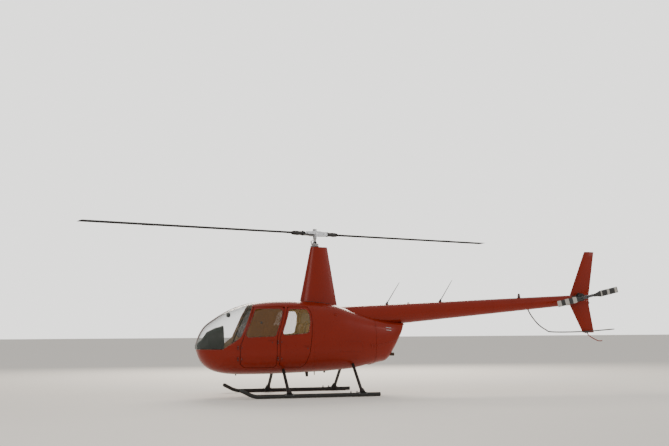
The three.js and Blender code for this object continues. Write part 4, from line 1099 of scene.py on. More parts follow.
ACCESS_DOOR = [(0.360, 0.835), (0.845, 0.835), (0.845, 1.026), (0.360, 1.026)]
cowl_marks = join(bead(*side_ring(ACCESS_DOOR, 0.030, -1), half_round(0.007, 0.003), True),
                  on_left([(1.040, 0.905), (1.033, 0.985)], 0.022, 0.010),
                  on_left([(1.104, 0.905), (1.097, 0.985)], 0.022, 0.010),
                  on_left([(1.163, 0.951), (1.601, 1.037)], 0.014, 0.007))
latches = join(on_left([(1.374, 1.300), (1.500, 1.286)], 0.015, 0.006),
               on_left([(1.380, 1.250), (1.494, 1.236)], 0.015, 0.006))
piece("cowl_doors_and_latches", join(both(cowl_marks), finished(both(latches), 1)), [body_paint, steel])


def studs_round(x, count, reach):
    """Quarter-turn studs round the lower part of the body at one place along it."""
    turn = np.linspace(-reach, reach, count) - math.pi / 2
    return scattered(slotted_stud(0.0065), hull(row_of(x), turn), hull_normal(row_of(x), turn))


cap_point, cap_normal = on_side([0.300], [1.560], -1)
fuel_cap = turned(cap_point[0], cap_normal[0], (0.045, -0.004), (0.045, 0.004), (0.036, 0.006),
                  (0.036, 0.010), (0.012, 0.012), sides=36)
cap_turn = Vector(cap_normal[0]).to_track_quat("Z", "Y").to_matrix().to_4x4()
cap_lever = placed(block(-0.024, 0.024, -0.005, 0.005, 0.010, 0.016),
                   Matrix.Translation(cap_point[0]) @ cap_turn)
STUD_ROWS = ((-0.150, 26, 2.5), (1.134, 17, 2.3), (1.168, 17, 2.3))  # place, count, reach to either side
cowl_studs = join(*[studs_round(*row) for row in STUD_ROWS])
piece("cowl_studs_and_fuel_caps", join(cowl_studs, finished(both(join(fuel_cap, cap_lever)), 2)),
      [body_paint, slot_dark, body_paint])

CONE_WAY = unit(np.array((CONE["rear"] - CONE["front"], 0, CONE["rear_z"] - CONE["front_z"])))
CONE_UP = np.cross(CONE_WAY, (0, 1, 0))
CONE_UP = CONE_UP * np.sign(CONE_UP[2])


def on_cone(x, turn):
    """Places and outward directions on the tailcone."""
    x, turn = np.broadcast_arrays(np.asarray(x, float), np.asarray(turn, float))
    radius, z = cone_at(x)
    normals = np.cos(turn)[:, None] * np.array((0, 1.0, 0)) + np.sin(turn)[:, None] * CONE_UP
    return np.stack([x, np.zeros(len(x)), z], -1) + radius[:, None] * normals, normals


CONE_JOINTS = np.linspace(1.990, 5.590, 9)
bands, rivets = [], []
for x in CONE_JOINTS:
    radius, z = (float(v) for v in cone_at(x))
    bands.append(lathe([(radius - 0.003, -0.018), (radius + 0.0009, -0.0172), (radius + 0.0007, 0.0172),
                        (radius - 0.003, 0.018)], (x, 0, z), CONE_WAY, 96))
    for a in (-0.011, 0.011):
        points, normals = on_cone(np.full(40, x + a), circle(40))
        rivets.append(scattered(rivet(), points + 0.0008 * normals, normals))
seam_x = np.arange(1.850, 5.620, 0.045)
rivets += [scattered(rivet(0.0024), *on_cone(seam_x, turn)) for turn in (-2.45, -0.69, 1.0)]
piece("tailcone_joint_bands", join(*bands, *rivets), body_paint)


# Wings, fins and blades

def aerofoil(samples=22):
    """A symmetric four-digit wing outline of unit chord and unit thickness, (chord, across), nose first."""
    s = (1 - np.cos(np.linspace(0, np.pi, samples))) / 2
    half = 5 * (0.2969 * np.sqrt(s) - 0.126 * s - 0.3516 * s**2 + 0.2843 * s**3 - 0.1036 * s**4)
    upper = np.stack([s, half], -1)
    return np.concatenate([upper, np.stack([s, -half], -1)[-2:0:-1]])


FIN_AXES = np.array([(1, 0, 0), (0, 1, 0), (0, 0, 1)], float)  # chord, across and span of an upright fin
FLAT_AXES = np.array([(1, 0, 0), (0, 0, 1), (0, 1, 0)], float)  # of a wing that lies flat
BLADE_AXES = np.array([(0, -1, 0), (0, 0, 1), (1, 0, 0)], float)  # of a main blade along +X
TAIL_AXES = np.array([(0, 0, -1), (0, 1, 0), (1, 0, 0)], float)  # of a tail blade along +X


def wing(rows, axes, foot=(0, 0, 0), steps=2, tip=0.0, first_tip=0.0):
    """An aerofoil loft through rows of (span, front, rear, thickness), even between the rows.

    A tip of some length rounds an end off: there the chord and thickness shrink about the middle of
    the chord as a quarter ellipse along the span."""
    rows = np.asarray(rows, float)
    at = np.linspace(0, len(rows) - 1, (len(rows) - 1) * (steps - 1) + 1)
    rows = np.stack([np.interp(at, np.arange(len(rows)), rows[:, k]) for k in range(4)], -1)
    size = np.ones(len(rows))
    angle = np.linspace(0, np.pi / 2, 7)[1:] * 0.97
    for length, end, sign in ((tip, -1, 1), (first_tip, 0, -1)):
        if not length:
            continue
        extra = np.tile(rows[end], (len(angle), 1))
        extra[:, 0] += sign * length * np.sin(angle)
        order = slice(None) if sign > 0 else slice(None, None, -1)
        rows = np.concatenate([rows, extra] if sign > 0 else [extra[order], rows])
        size = np.concatenate([size, np.cos(angle)] if sign > 0 else [np.cos(angle)[order], size])
    outline = aerofoil()
    span, front, rear, thickness = rows.T[:, :, None]
    size = size[:, None]
    middle, chord = front + 0.42 * (rear - front), rear - front
    along = middle + (front + chord * outline[:, 0] - middle) * size**0.5
    local = np.stack(np.broadcast_arrays(along, thickness * outline[:, 1] * size, span), -1)
    girth = np.broadcast_to(outline[:, 0], along.shape)
    made = grid(np.asarray(foot, float) + local @ axes, uv=np.stack(np.broadcast_arrays(span, girth), -1))
    return outward(made)


def plate(outline, low, high, plane="xz"):
    """A flat outline given a thickness between two values of the third axis."""
    outline = np.asarray(outline, float)
    order = {"xz": (0, 2, 1), "xy": (0, 1, 2), "yz": (1, 2, 0)}[plane]
    points = np.zeros((2, len(outline), 3))
    points[:, :, order[0]], points[:, :, order[1]] = outline[:, 0], outline[:, 1]
    points[0, :, order[2]], points[1, :, order[2]] = low, high
    return outward(grid(points))


def slot_outline(start, end, radius, end_radius=None):
    """The outline round two circles joined by straight sides."""
    start, end = np.asarray(start, float), np.asarray(end, float)
    last = radius if end_radius is None else end_radius
    heading = math.atan2(*(end - start)[::-1])
    turn = np.linspace(-np.pi / 2, np.pi / 2, 8)
    tip = end + last * np.stack([np.cos(heading + turn), np.sin(heading + turn)], -1)
    tail = start - radius * np.stack([np.cos(heading + turn), np.sin(heading + turn)], -1)
    return np.concatenate([tip, tail])


cowl_end = hull(row_of(1.7785), circle(64))[:, 1:]
piece("tail_cowl_end", plate(cowl_end * (0.997, 1.0), 1.7735, 1.7780, "yz"), body_paint)


# Landing gear

SHOE_HALF, SHOE_TOP = 0.017, 0.014
LEGS = {"front": (-0.755, 0.515), "rear": (0.656, 0.602)}  # place, height across the body
LEG_RADIUS = 0.025
LEG_SLOPE = 1.21  # outwards for each unit down
LEG_BEND = (0.040, 0.062)  # of the turn at the top: how far below the level part, and how far in
shoe_steel = bare_metal("worn_shoe_steel", (0.30, 0.28, 0.26), 0.45, (0.2, 1, 1), (0.10, 0.05, 0.02),
                        0.6).material


def skid_path(side):
    y, z = side * SKID["half"], SKID["z"]
    toe = [(-1.290, y, z), (-1.380, y, z + 0.003), (-1.470, y, z + 0.028), (-1.560, y, z + 0.072),
           (SKID["toe"], y, z + 0.130)]
    return np.concatenate([line((SKID["rear"], y, z), (-1.20, y, z), steps=30)[:-1],
                           curve([(-1.20, y, z)] + toe, 6)])


def shoes(side):
    """Wear plates end to end under the skid."""
    joints = np.linspace(-1.250, 0.900, 6)
    y = side * SKID["half"]
    return join(*[block(a + 0.004, b - 0.004, y - SHOE_HALF, y + SHOE_HALF, 0, SHOE_TOP)
                  for a, b in zip(joints, joints[1:])])


def leg_out(z):
    """Distance of a leg from the aircraft's middle at a height."""
    return SKID["half"] - LEG_SLOPE * (z - SKID["z"])


def leg_path(x, across):
    """Straight up from the left skid, through a bend, level across the body and down to the right skid."""
    t = np.linspace(0, 1, 10)
    z = across - LEG_BEND[0] * (1 - t) ** 2
    y = leg_out(z) - LEG_BEND[1] * t**2
    below = np.linspace(SKID["z"], z[0], 12)[:-1]
    z, y = np.append(below, z), np.append(leg_out(below), y)
    left = np.stack([np.full(len(z), x), -y, z], -1)
    return np.concatenate([left, left[::-1] * (1, -1, 1)])


def saddle(x, side):
    """A cast half shell over the skid tube with a boss for the leg."""
    y, z = side * SKID["half"], SKID["z"]
    turn = np.radians(np.linspace(-35, 215, 15))
    outer = np.stack([np.cos(turn), np.sin(turn)], -1) * (SKID["radius"] + 0.009)
    inner = np.stack([np.cos(turn), np.sin(turn)], -1)[::-1] * (SKID["radius"] + 0.0005)
    path = line((x - 0.085, y, z), (x + 0.085, y, z), steps=6)
    shell = sweep(path, np.concatenate([outer, inner]), (0, 0, 1), caps=False)
    top = np.array((x, y - side * 0.075, z + 0.095))
    boss = turned((x, y, z + 0.02), top - (x, y, z + 0.02), (0.062, 0), (0.058, 0.02), (0.050, 0.055),
                  (0.040, 0.1), (0.029, 0.106))
    places = [(x + a, y + b * 0.036, z + 0.029) for a in (-0.070, 0.070) for b in (-1, 1)]
    bolts = scattered(bolt_head(0.006, 0.006), places, [(0, 0.72 * np.sign(p[1] - y), 0.70) for p in places])
    return join(shell, boss, finished(bolts, 1))


def leg_cover(x, across, side):
    """An oval sleeve on the leg, closed by a rubber cuff at the foot."""
    z = np.linspace(across - 0.032, SKID["z"] + 0.060, 12)
    path = np.stack([np.full(12, x), side * leg_out(z), z], -1)
    sleeve = sweep(path, round_outline(1.0, 24) * (0.0275, 0.0305), (1, 0, 0))
    cuff = tube(line(path[-1], path[-1] + (path[-1] - path[-2]) * 0.5, steps=4), [0.029, 0.032, 0.032, 0.027],
                20, (1, 0, 0))
    return outward(sleeve), cuff


for side_name, side in SIDES:
    path = skid_path(side)
    radius = np.full(len(path), SKID["radius"])
    radius[-3:] *= (0.99, 0.93, 0.72)
    toe_cap = tube(path[-4:], radius[-4:] + 0.0012, 24)
    rear_cap = turned(path[0] - (0.012, 0, 0), (1, 0, 0), (0.0382, 0), (0.0382, 0.018), (0.034, 0.024),
                      (0.012, 0.026))
    stud = join(rod((0.423, side * SKID["half"], 0.07), (0.423, side * SKID["half"], 0.100), 0.016),
                rod((0.423, side * SKID["half"], 0.09), (0.423, side * SKID["half"], 0.112), 0.0095))
    rear_stud = placed(stud, Matrix.Translation((0.12, 0, 0)))
    piece(f"skid_tube_{side_name}", join(tube(path, radius, 28), finished(join(rear_cap, toe_cap), 1),
                                         finished(join(stud, rear_stud), 2)), [gear_black, rubber, steel],
          replaces=[f"skid_{side_name}"])
    piece(f"skid_shoes_{side_name}", shoes(side), shoe_steel, bevel=0.003)
    for place, (x, across) in LEGS.items():
        cover, cuff = leg_cover(x, across, side)
        piece(f"leg_cover_{place}_{side_name}", join(cover, finished(cuff, 1)), [gear_black, rubber])
        piece(f"skid_saddle_{place}_{side_name}", saddle(x, side), [gear_black, bright_steel])


LEG_SEAL_REACH = 0.047
LEG_SEALS_BELOW = 0.62


def near_legs(p):
    """Positive on the skin within a hand's width of where the legs pass through it."""
    distance = [np.hypot(p[:, 0] - x, (np.abs(p[:, 1]) - leg_out(p[:, 2])) / math.hypot(1, LEG_SLOPE))
                for x, _ in LEGS.values()]
    return np.where(p[:, 2] < LEG_SEALS_BELOW, LEG_SEAL_REACH - np.minimum(*distance), -1.0)


for place, (x, across) in LEGS.items():
    piece(f"cross_tube_{place}_bar", tube(leg_path(x, across), LEG_RADIUS, 24, (1, 0, 0)), gear_black,
          replaces=[f"cross_tube_{place}"])
leg_rows = np.concatenate([np.linspace(row_of(x - 0.07), row_of(x + 0.07), 14) for x, _ in LEGS.values()])
piece("leg_seals", panel(near_legs, 0.004, 0.010, 0.0015, 0.003, leg_rows), body_paint)


# Mast fairing and rotor head

FAIRING = [
    # height, front, rear, thickness
    (1.600, -0.355, 0.475, 0.290),
    (2.912, -0.092, 0.253, 0.130),
]
(FAIRING_FOOT, *_), (FAIRING_TOP, *_) = FAIRING
SWASH_SPLIT, SWASH_RADIUS = 2.948, 0.074
MAST_RADIUS = 0.028


def fairing_at(share, height, grow=0.0):
    """Points of the fairing at shares of its outline and heights."""
    outline = aerofoil(30)
    run = np.linspace(0, 1, len(outline) + 1)
    loop = np.concatenate([outline, outline[:1]])
    u = np.interp(share, run, loop[:, 0])
    v = np.interp(share, run, loop[:, 1])
    t = (height - FAIRING_FOOT) / (FAIRING_TOP - FAIRING_FOOT)
    front, rear, thick = (FAIRING[0][k] + (FAIRING[1][k] - FAIRING[0][k]) * t for k in (1, 2, 3))
    grow_x = grow * (2 * u - 1)
    return np.stack([front + (rear - front) * u + grow_x, (thick + 2 * grow) * v, height], -1)


def fairing_foot(grow=0.0):
    """Where the fairing meets the roof or the tailcone, found by repeating the height of what is below."""
    share = np.linspace(0, 1, 120, endpoint=False)
    height = np.full(120, 1.8)
    for _ in range(8):
        p = fairing_at(share, height, grow)
        roof = on_top(p[:, 0], p[:, 1])[0][:, 2]
        radius, z = cone_at(p[:, 0])
        cone_top = z + np.sqrt(np.maximum(0, radius**2 - p[:, 1] ** 2))
        height = np.where(p[:, 0] > CONE["front"], np.maximum(roof, cone_top), roof)
    return fairing_at(share, height, grow)


piece("mast_fairing_skin", wing([FAIRING[0], FAIRING[1], (2.9122, -0.091, 0.251, 0.128)], FIN_AXES, steps=3),
      body_paint, replaces=["mast_fairing"], smooth=30)
foot = fairing_foot(0.002)
foot_seam = tube(np.concatenate([foot, foot[:1]]), 0.006, 8, caps=False)
piece("fairing_foot_seal", foot_seam, rubber)


def frame_of(azimuth):
    return Matrix.Rotation(azimuth, 4, "Z")


head_turn = frame_of(ROTOR_AZIMUTH)
teeter_turn = head_turn @ Matrix.Translation((0, 0, TEETER_Z)) @ Matrix.Rotation(-TEETER_TILT, 4, "Y")

EAR_WAYS = [(math.cos(a), math.sin(a)) for a in (0.4, 2.5, 4.6)]
boot = lathe([(0.050, 2.9125), (0.058, 2.918), (0.050, 2.923), (0.056, 2.928), (0.046, 2.932), (0.052, 2.937),
              (0.040, 2.9425)], sides=32)
lower_ring = turned((0, 0, 2.9205), (0, 0, 1), (0.066, 0), (0.072, 0.002), (0.073, 0.020), (0.066, 0.0225),
                    (0.034, 0.0225), sides=40)
ears = [plate(slot_outline((0.055 * c, 0.055 * s), (0.088 * c, 0.088 * s), 0.016, 0.011), 2.923, 2.940, "xy")
        for c, s in EAR_WAYS]
rods = [rod((0.088 * c, 0.088 * s, 2.931), (0.080 * c, 0.045 * s, 2.912), 0.006) for c, s in EAR_WAYS]
piece("swashplate_fixed_ring", join(lower_ring, *ears, *rods, finished(boot, 1)), [steel, rubber],
      replaces=["swashplate"], bevel=0.0015)

LINKS = {"x": 0.060, "y": 0.052, "radius": 0.007, "top": 3.114}


def pitch_link(side):
    """A threaded rod with lock nuts between two eye ends."""
    x, y = side * LINKS["x"], side * LINKS["y"]
    foot_point, top = np.array((x * 0.95, y * 0.95, 2.975)), np.array((x, y, LINKS["top"] - 0.010))
    way = top - foot_point
    barrel = rod(foot_point + way * 0.25, foot_point + way * 0.75, LINKS["radius"])
    thread = rod(foot_point, top, 0.0045)
    nuts = [turned(foot_point + way * a, way, (0.009, 0), (0.009, 0.007), sides=6) for a in (0.2, 0.77)]
    eyes = [turned(p - (0, 0.006, 0), (0, 1, 0), (0.005, 0), (0.0105, 0.001), (0.0105, 0.011), (0.005, 0.012))
            for p in (foot_point, top)]
    return join(barrel, thread, *nuts, *eyes)


mast_tube = turned((0, 0, 2.912 - 0.05), (0, 0, 1), (MAST_RADIUS, 0), (MAST_RADIUS, 0.115), (0.031, 0.118),
                   (0.031, 0.135), (MAST_RADIUS, 0.138), (MAST_RADIUS, 0.205), (0.036, 0.215), (0.036, 0.235),
                   (0.030, 0.242), sides=40)
upper_ring = turned((0, 0, SWASH_SPLIT), (0, 0, 1), (0.045, 0), (0.070, 0.001), (SWASH_RADIUS, 0.006),
                    (SWASH_RADIUS, 0.026), (0.066, 0.034), (0.036, 0.034), sides=40)
drive_boot = lathe([(0.037, 2.982), (0.046, 2.988), (0.038, 2.995), (0.044, 3.001), (0.034, 3.008),
                    (0.040, 3.014), (0.0295, 3.021)], sides=32)
tongue = sweep(line((0, 0, 3.085), (0, 0, HUB_TOP_Z), steps=4), box_outline(0.052, 0.068, 0.009), (1, 0, 0),
               [0.96, 1, 1, 1])
scissor = join(plate(slot_outline((-0.070, 2.965), (-0.100, 3.020), 0.011, 0.009), -0.008, 0.008),
               plate(slot_outline((-0.100, 3.020), (-0.032, 3.062), 0.009, 0.012), -0.006, 0.006),
               rod((-0.100, -0.012, 3.020), (-0.100, 0.012, 3.020), 0.006),
               rod((-0.070, -0.012, 2.965), (-0.070, 0.012, 2.965), 0.006))
mast_shape = placed(join(mast_tube, upper_ring, tongue, pitch_link(1), pitch_link(-1), scissor,
                         finished(drive_boot, 1)), head_turn)
piece("mast_and_links", mast_shape, [steel, rubber], "mast", replaces=["mast"],
      bevel=0.0012)

HUB = {"wide": 0.058, "low": -0.048, "slot": 0.092, "slot_half": 0.031}


def rotor_hub():
    """Two deep side plates round the mast's tongue, solid arms outside them, and three cross bolts."""
    x = np.array([0, 0.05, 0.10, 0.16, 0.22, 0.262])
    low = np.array([-0.048, -0.048, -0.046, -0.040, -0.040, -0.040])
    high = np.array([0.052, 0.052, 0.050, 0.041, 0.040, 0.040])
    end = np.array([(0.279, 0.030), (0.284, 0.014), (0.284, -0.014), (0.279, -0.030)])
    right = np.concatenate([np.stack([x, high], -1), end, np.stack([x, low], -1)[::-1]])
    left = right[::-1] * (-1, 1)
    side_outline = np.concatenate([right[:-1], [(0, HUB["low"])], left[1:-1]])
    plates = [plate(side_outline, *sorted((s * HUB["slot_half"], s * HUB["wide"]))) for s in (-1, 1)]
    arm = sweep(line((HUB["slot"] + 0.003, 0, 0), (0.283, 0, 0), steps=6), box_outline(0.070, 0.076, 0.008),
                (0, 0, 1))
    arms = [arm, placed(arm, Matrix.Rotation(math.pi, 4, "Z"))]
    bolts = []
    for place, radius in ((0.0, 0.011), (0.205, 0.0095), (-0.205, 0.0095)):
        bolts.append(rod((place, -0.072, 0), (place, 0.072, 0), radius))
        for s in (-1, 1):
            bolts.append(turned((place, s * 0.058, 0), (0, s, 0), (radius * 2.1, 0), (radius * 2.1, 0.003),
                                sides=24))
            bolts.append(turned((place, s * 0.061, 0), (0, s, 0), (radius * 1.7, 0), (radius * 1.7, 0.008),
                                (radius * 1.4, 0.0105), sides=6))
    stops = [rod((s * 0.11, -0.02, -0.046), (s * 0.11, 0.02, -0.046), 0.009) for s in (-1, 1)]
    return join(*plates, *arms, *[finished(b, 1) for b in bolts], *stops)


def blade_root():
    """The spindle housing from the hub to the blade: a flange, a boot, a tapered cuff and its pitch horn."""
    cuff = turned((0.2862, 0, 0), (1, 0, 0), (0.040, 0), (0.047, 0.004), (0.047, 0.030), (0.041, 0.036),
                  (0.040, 0.12), (0.045, 0.15), (0.045, 0.19), (0.040, 0.26), (0.032, 0.290), sides=36)
    rubber_boot = lathe([(0.0475, 0.300), (0.051, 0.306), (0.0475, 0.312), (0.051, 0.318), (0.0475, 0.324)],
                        (0, 0, 0), (1, 0, 0), 36)
    horn = sweep(curve([(0.345, 0.030, -0.010), (0.320, 0.075, -0.022), (0.220, 0.096, -0.026),
                        (0.120, 0.092, -0.028), (0.068, 0.082, -0.030)], 6), box_outline(0.020, 0.026, 0.006),
                 (0, 0, 1), np.linspace(1.35, 0.8, 25))
    eye = turned((0.066, 0.075, -0.030), (0, 1, 0), (0.006, 0), (0.012, 0.001), (0.012, 0.015),
                 (0.006, 0.016))
    ways = np.array([(0, math.cos(a), math.sin(a)) for a in circle(8, 0.2)])
    studs = scattered(bolt_head(0.0065, 0.007), (0.300 + 0.012, 0, 0) + 0.040 * ways, ways)
    return join(cuff, finished(rubber_boot, 1), horn, eye, finished(studs, 2))


def main_blade():
    """The blade's aerofoil with a rounded tip cap, a root fairing, doubler plates and a trim tab."""
    even = (-BLADE["half_chord"], BLADE["half_chord"], BLADE["thickness"])
    rows = [(0.530, -0.075, 0.075, 0.044), (0.640, -0.100, 0.102, 0.040), (BLADE["even_from"], *even),
            (BLADE["even_to"], *even)]
    skin = wing(rows, BLADE_AXES, steps=5, tip=0.036, first_tip=0.018)
    doubler = wing([(0.770, -0.118, 0.085, 0.0335), (1.150, -0.100, 0.030, 0.0325)], BLADE_AXES)
    tab = block(3.55, 3.78, -0.146, -0.1235, -0.0010, 0.0010)
    return join(skin, doubler, finished(tab, 1))


blade_finish = coated_metal("blade_charcoal", (0.006, 0.006, 0.006), (0.03, 0.03, 0.03), 0.15, 0.84, 0.0,
                            0.012)
blade_finish.shader.inputs["Specular IOR Level"].default_value = 0.12
blade_black = blade_finish.paint(blade_finish.ramp(blade_finish.along("Y"), 0.045, 0.035),
                                 (0.07, 0.07, 0.072)).material
blade_shape = main_blade()
root_shape = blade_root()
piece("rotor_hub_yoke", placed(rotor_hub(), teeter_turn), [steel, bright_steel], "rotor",
      replaces=["rotor_hub"], bevel=0.002)
for number, turn in ((1, math.pi), (2, 0.0)):
    matrix = teeter_turn @ Matrix.Rotation(turn, 4, "Z")
    piece(f"main_blade_{number}_skin", placed(blade_shape, matrix), [blade_black, gear_black], "rotor",
          replaces=[f"main_blade_{number}"])
    piece(f"main_blade_{number}_root", placed(root_shape, matrix), [gear_black, rubber, bright_steel],
          "rotor", bevel=0.0012)


# Tail rotor, gearbox and fins

gear = np.array((TAIL_ROTOR["x"], 0, TAIL_ROTOR["z"]))
gear_casting = coated_metal("gearbox_casting", (0.020, 0.019, 0.018), STEEL_GREY, 0.2, 0.5).material
dark_steel = bare_metal("blued_steel", (0.10, 0.10, 0.105), 0.38).material


def tail_gearbox():
    """Input bell, main case with ribs and a bolted cover, output housing and a filler with its cap."""
    start = np.array((5.6603, 0, 1.862))
    way = gear - (0, 0, 0.02) - start
    bell = turned(start, way, (0.098, 0), (0.098, 0.012), (0.090, 0.016), (0.076, 0.10), (0.066, 0.20),
                  (0.060, 0.235), sides=40)
    case = turned(gear + (0, 0.058, 0), (0, -1, 0), (0.050, 0), (0.078, 0.003), (0.084, 0.010),
                  (0.084, 0.026), (0.079, 0.030), (0.079, 0.118), (0.084, 0.122), (0.084, 0.138),
                  (0.074, 0.153), (0.046, 0.153), sides=48)
    output = turned(gear + (0, -0.085, 0), (0, -1, 0), (0.056, 0), (0.050, 0.02), (0.043, 0.05),
                    (0.0385, 0.165), (0.038, 0.172), (0.030, 0.1768), sides=36)
    ribs = [placed(block(-0.003, 0.003, -0.060, 0.030, 0.076, 0.088),
                   Matrix.Translation(gear) @ Matrix.Rotation(a, 4, "Y"))
            for a in np.radians(np.arange(-60, 61, 24))]
    cover_bolts = [gear + (0.0775 * math.cos(a), 0.050, 0.0775 * math.sin(a)) for a in circle(8, 0.2)]
    flange = [start + unit(way) * 0.012 + np.array((0, 0.087 * math.cos(a), 0.087 * math.sin(a)))
              for a in circle(10)]
    bolts = join(scattered(bolt_head(0.0055, 0.005), cover_bolts, [(0, 1, 0)] * 8),
                 scattered(bolt_head(0.0055, 0.005), flange, [unit(way)] * 10))
    filler = turned(gear + (-0.035, -0.01, 0.066), (-0.2, 0, 1), (0.017, 0), (0.017, 0.018), (0.021, 0.019),
                    (0.021, 0.032), (0.012, 0.036))
    glass = turned(gear + (0.070, -0.02, -0.030), (1, 0, -0.4), (0.013, 0), (0.015, 0.008), (0.010, 0.011))
    return join(bell, case, output, *ribs, filler, finished(bolts, 1), finished(glass, 2))


sight_glass = Finish("sight_glass", (0.30, 0.13, 0.02), 0.08)
sight_glass.paint(sight_glass.ramp(sight_glass.noise(0.004), 0.4, 0.6), (0.5, 0.3, 0.08))
sight_glass.bump(sight_glass.noise(0.005), 0.0002)
piece("tail_gearbox_case", tail_gearbox(), [gear_casting, bright_steel, sight_glass.material],
      replaces=["tail_gearbox"], bevel=0.0012)

tail_place = [TAIL_ROTOR[axis] for axis in "xyz"]
tail_turn = Matrix.Translation(tail_place) @ Matrix.Rotation(-TAIL_ROTOR["lift"], 4, "Y")


def tail_hub():
    """Shaft, teetering yoke with its bolt, pitch ring with two links and the outer cap."""
    shaft = rod((0, 0.0757, 0), (0, -0.036, 0), 0.019)
    ring = turned((0, 0.060, 0), (0, -1, 0), (0.030, 0), (0.045, 0.002), (0.046, 0.010), (0.040, 0.015),
                  (0.022, 0.016), sides=32)
    yoke_side = slot_outline((-0.108, 0), (0.108, 0), 0.024)
    yoke = [plate(yoke_side, *sorted((s * 0.009, s * 0.017))) for s in (-1, 1)]
    arms = [rod((s * 0.045, 0, 0), (s * 0.118, 0, 0), 0.0165) for s in (-1, 1)]
    bolt = rod((0, 0, -0.030), (0, 0, 0.030), 0.009)
    nuts = [turned((0, 0, s * 0.022), (0, 0, s), (0.015, 0), (0.015, 0.007), sides=6) for s in (-1, 1)]
    links = [rod((s * 0.040, 0.050, s * 0.020), (s * 0.100, 0.010, s * 0.030), 0.0045) for s in (-1, 1)]
    cap = turned((0, -0.018, 0), (0, -1, 0), (0.020, 0), (0.020, 0.010), (0.014, 0.0195), sides=24)
    return join(shaft, ring, *yoke, *arms, *links, cap, finished(join(bolt, *nuts), 1))


def tail_blade():
    """Narrow root, tapered shank and even blade with a rounded tip."""
    half = TAIL_ROTOR["half_chord"]
    rows = [(0.140, -0.031, 0.031, 0.022), (0.210, -0.039, 0.039, 0.020), (0.300, -half, half, 0.017),
            (0.729, -half, half, 0.014)]
    skin = wing(rows, TAIL_AXES, steps=5, tip=0.007, first_tip=0.009)
    shank = turned((0.1206, 0, 0), (1, 0, 0), (0.0165, 0), (0.0165, 0.045), (0.010, 0.062), sides=20)
    horn = plate(slot_outline((0.135, 0.010), (0.105, 0.034), 0.011, 0.008), -0.006, 0.006)
    return join(skin, finished(join(shank, horn), 1))


BAND_STEP = 0.185


def striped(name, start, share, last_white):
    """Black blade enamel with white bands at even steps, the first one a given way in from the tip."""
    f = Finish(name, (0.012, 0.012, 0.012), 0.33, 0.0, Coat_Weight=0.3)
    from_tip = f.math("SUBTRACT", TAIL_ROTOR["radius"], f.along("X"))
    phase = f.math("FRACT", f.math("DIVIDE", f.math("SUBTRACT", from_tip, start), BAND_STEP))
    band = f.math("LESS_THAN", phase, share)
    band = f.math("MULTIPLY", band, f.math("LESS_THAN", from_tip, last_white))
    worn = f.ramp(f.noise(0.01, 8, 0.7), 0.3, 0.62, 0.75, 1.0)
    f.paint(f.math("MULTIPLY", band, worn), (0.40, 0.39, 0.36))
    f.paint(f.ramp(f.noise(0.02, 7, 0.7), 0.62, 0.75, 0, 0.35), (0.16, 0.15, 0.14))
    f.rough(f.noise(0.03, 5), 0.25, 0.45)
    return f.bump(f.noise(0.004), 0.0002, 0.4).material


piece("tail_rotor_yoke", placed(tail_hub(), tail_turn), [dark_steel, bright_steel], "tail_rotor",
      replaces=["tail_rotor_hub"], bevel=0.001)
blade_paints = {1: striped("tail_blade_paint_aft", 0.020, 0.32, 0.42),
                2: striped("tail_blade_paint_forward", 0.0, 0.5, 0.50)}
for number, turn in ((1, 0.0), (2, math.pi)):
    matrix = tail_turn @ Matrix.Rotation(turn, 4, "Y")
    piece(f"tail_blade_{number}_skin", placed(tail_blade(), matrix), [blade_paints[number], gear_black],
          "tail_rotor", replaces=[f"tail_blade_{number}"])

FIN_Y = 0.086
UPPER_FIN = [(1.8605, 5.697, 6.157, 0.050), (1.970, 5.697, 6.157, 0.050), (2.915, 6.083, 6.317, 0.026)]
LOWER_FIN = [(1.173, 5.975, 6.251, 0.028), (1.748, 5.697, 6.156, 0.050), (1.8595, 5.697, 6.157, 0.050)]
STABILISER = [(0.095, 5.735, 6.065, 0.044), (0.850, 5.789, 6.065, 0.030)]
FINS = {
    # rows, axes, foot, and the length of the rounded end at the last row and at the first
    "upper_fin": (UPPER_FIN, FIN_AXES, (0, FIN_Y, 0), 0.008, 0.0),
    "lower_fin": (LOWER_FIN, FIN_AXES, (0, FIN_Y, 0), 0.0, 0.008),
    "stabiliser": (STABILISER, FLAT_AXES, (0, 0, 1.905), 0.010, 0.0),
}
for name, (rows, axes, foot, tip, first_tip) in FINS.items():
    piece(f"{name}_skin", wing(rows, axes, foot, 8, tip, first_tip), body_paint, replaces=[name])


def wing_rivets(rows, axes, foot, shares, spacing):
    """Rivet rows along the span of both faces of a wing, at shares of its chord."""
    rows, foot, upper = np.asarray(rows, float), np.asarray(foot, float), aerofoil(60)[:60]
    span = np.arange(rows[0, 0] + 0.025, rows[-1, 0] - 0.02, spacing)
    front, rear, thickness = (np.interp(span, rows[:, 0], rows[:, k]) for k in (1, 2, 3))
    made = []
    for share in shares:
        rise = np.interp(share, upper[:, 0], upper[:, 1]) * thickness
        for face in (-1, 1):
            local = np.stack([front + (rear - front) * share, face * rise, span], -1)
            made.append(scattered(rivet(0.0024), foot + local @ axes,
                                  np.tile(face * axes[1], (len(span), 1))))
    return join(*made)


CONE_FITTING_X = 1.969
fitting_foot = float(sum(cone_at(CONE_FITTING_X)))
cone_fitting = wing([(fitting_foot - 0.008, CONE_FITTING_X - 0.032, CONE_FITTING_X + 0.030, 0.034),
                     (fitting_foot + 0.014, CONE_FITTING_X - 0.020, CONE_FITTING_X + 0.022, 0.024)], FIN_AXES,
                    steps=3, tip=0.006)
piece("tailcone_top_fitting", cone_fitting, gear_black)

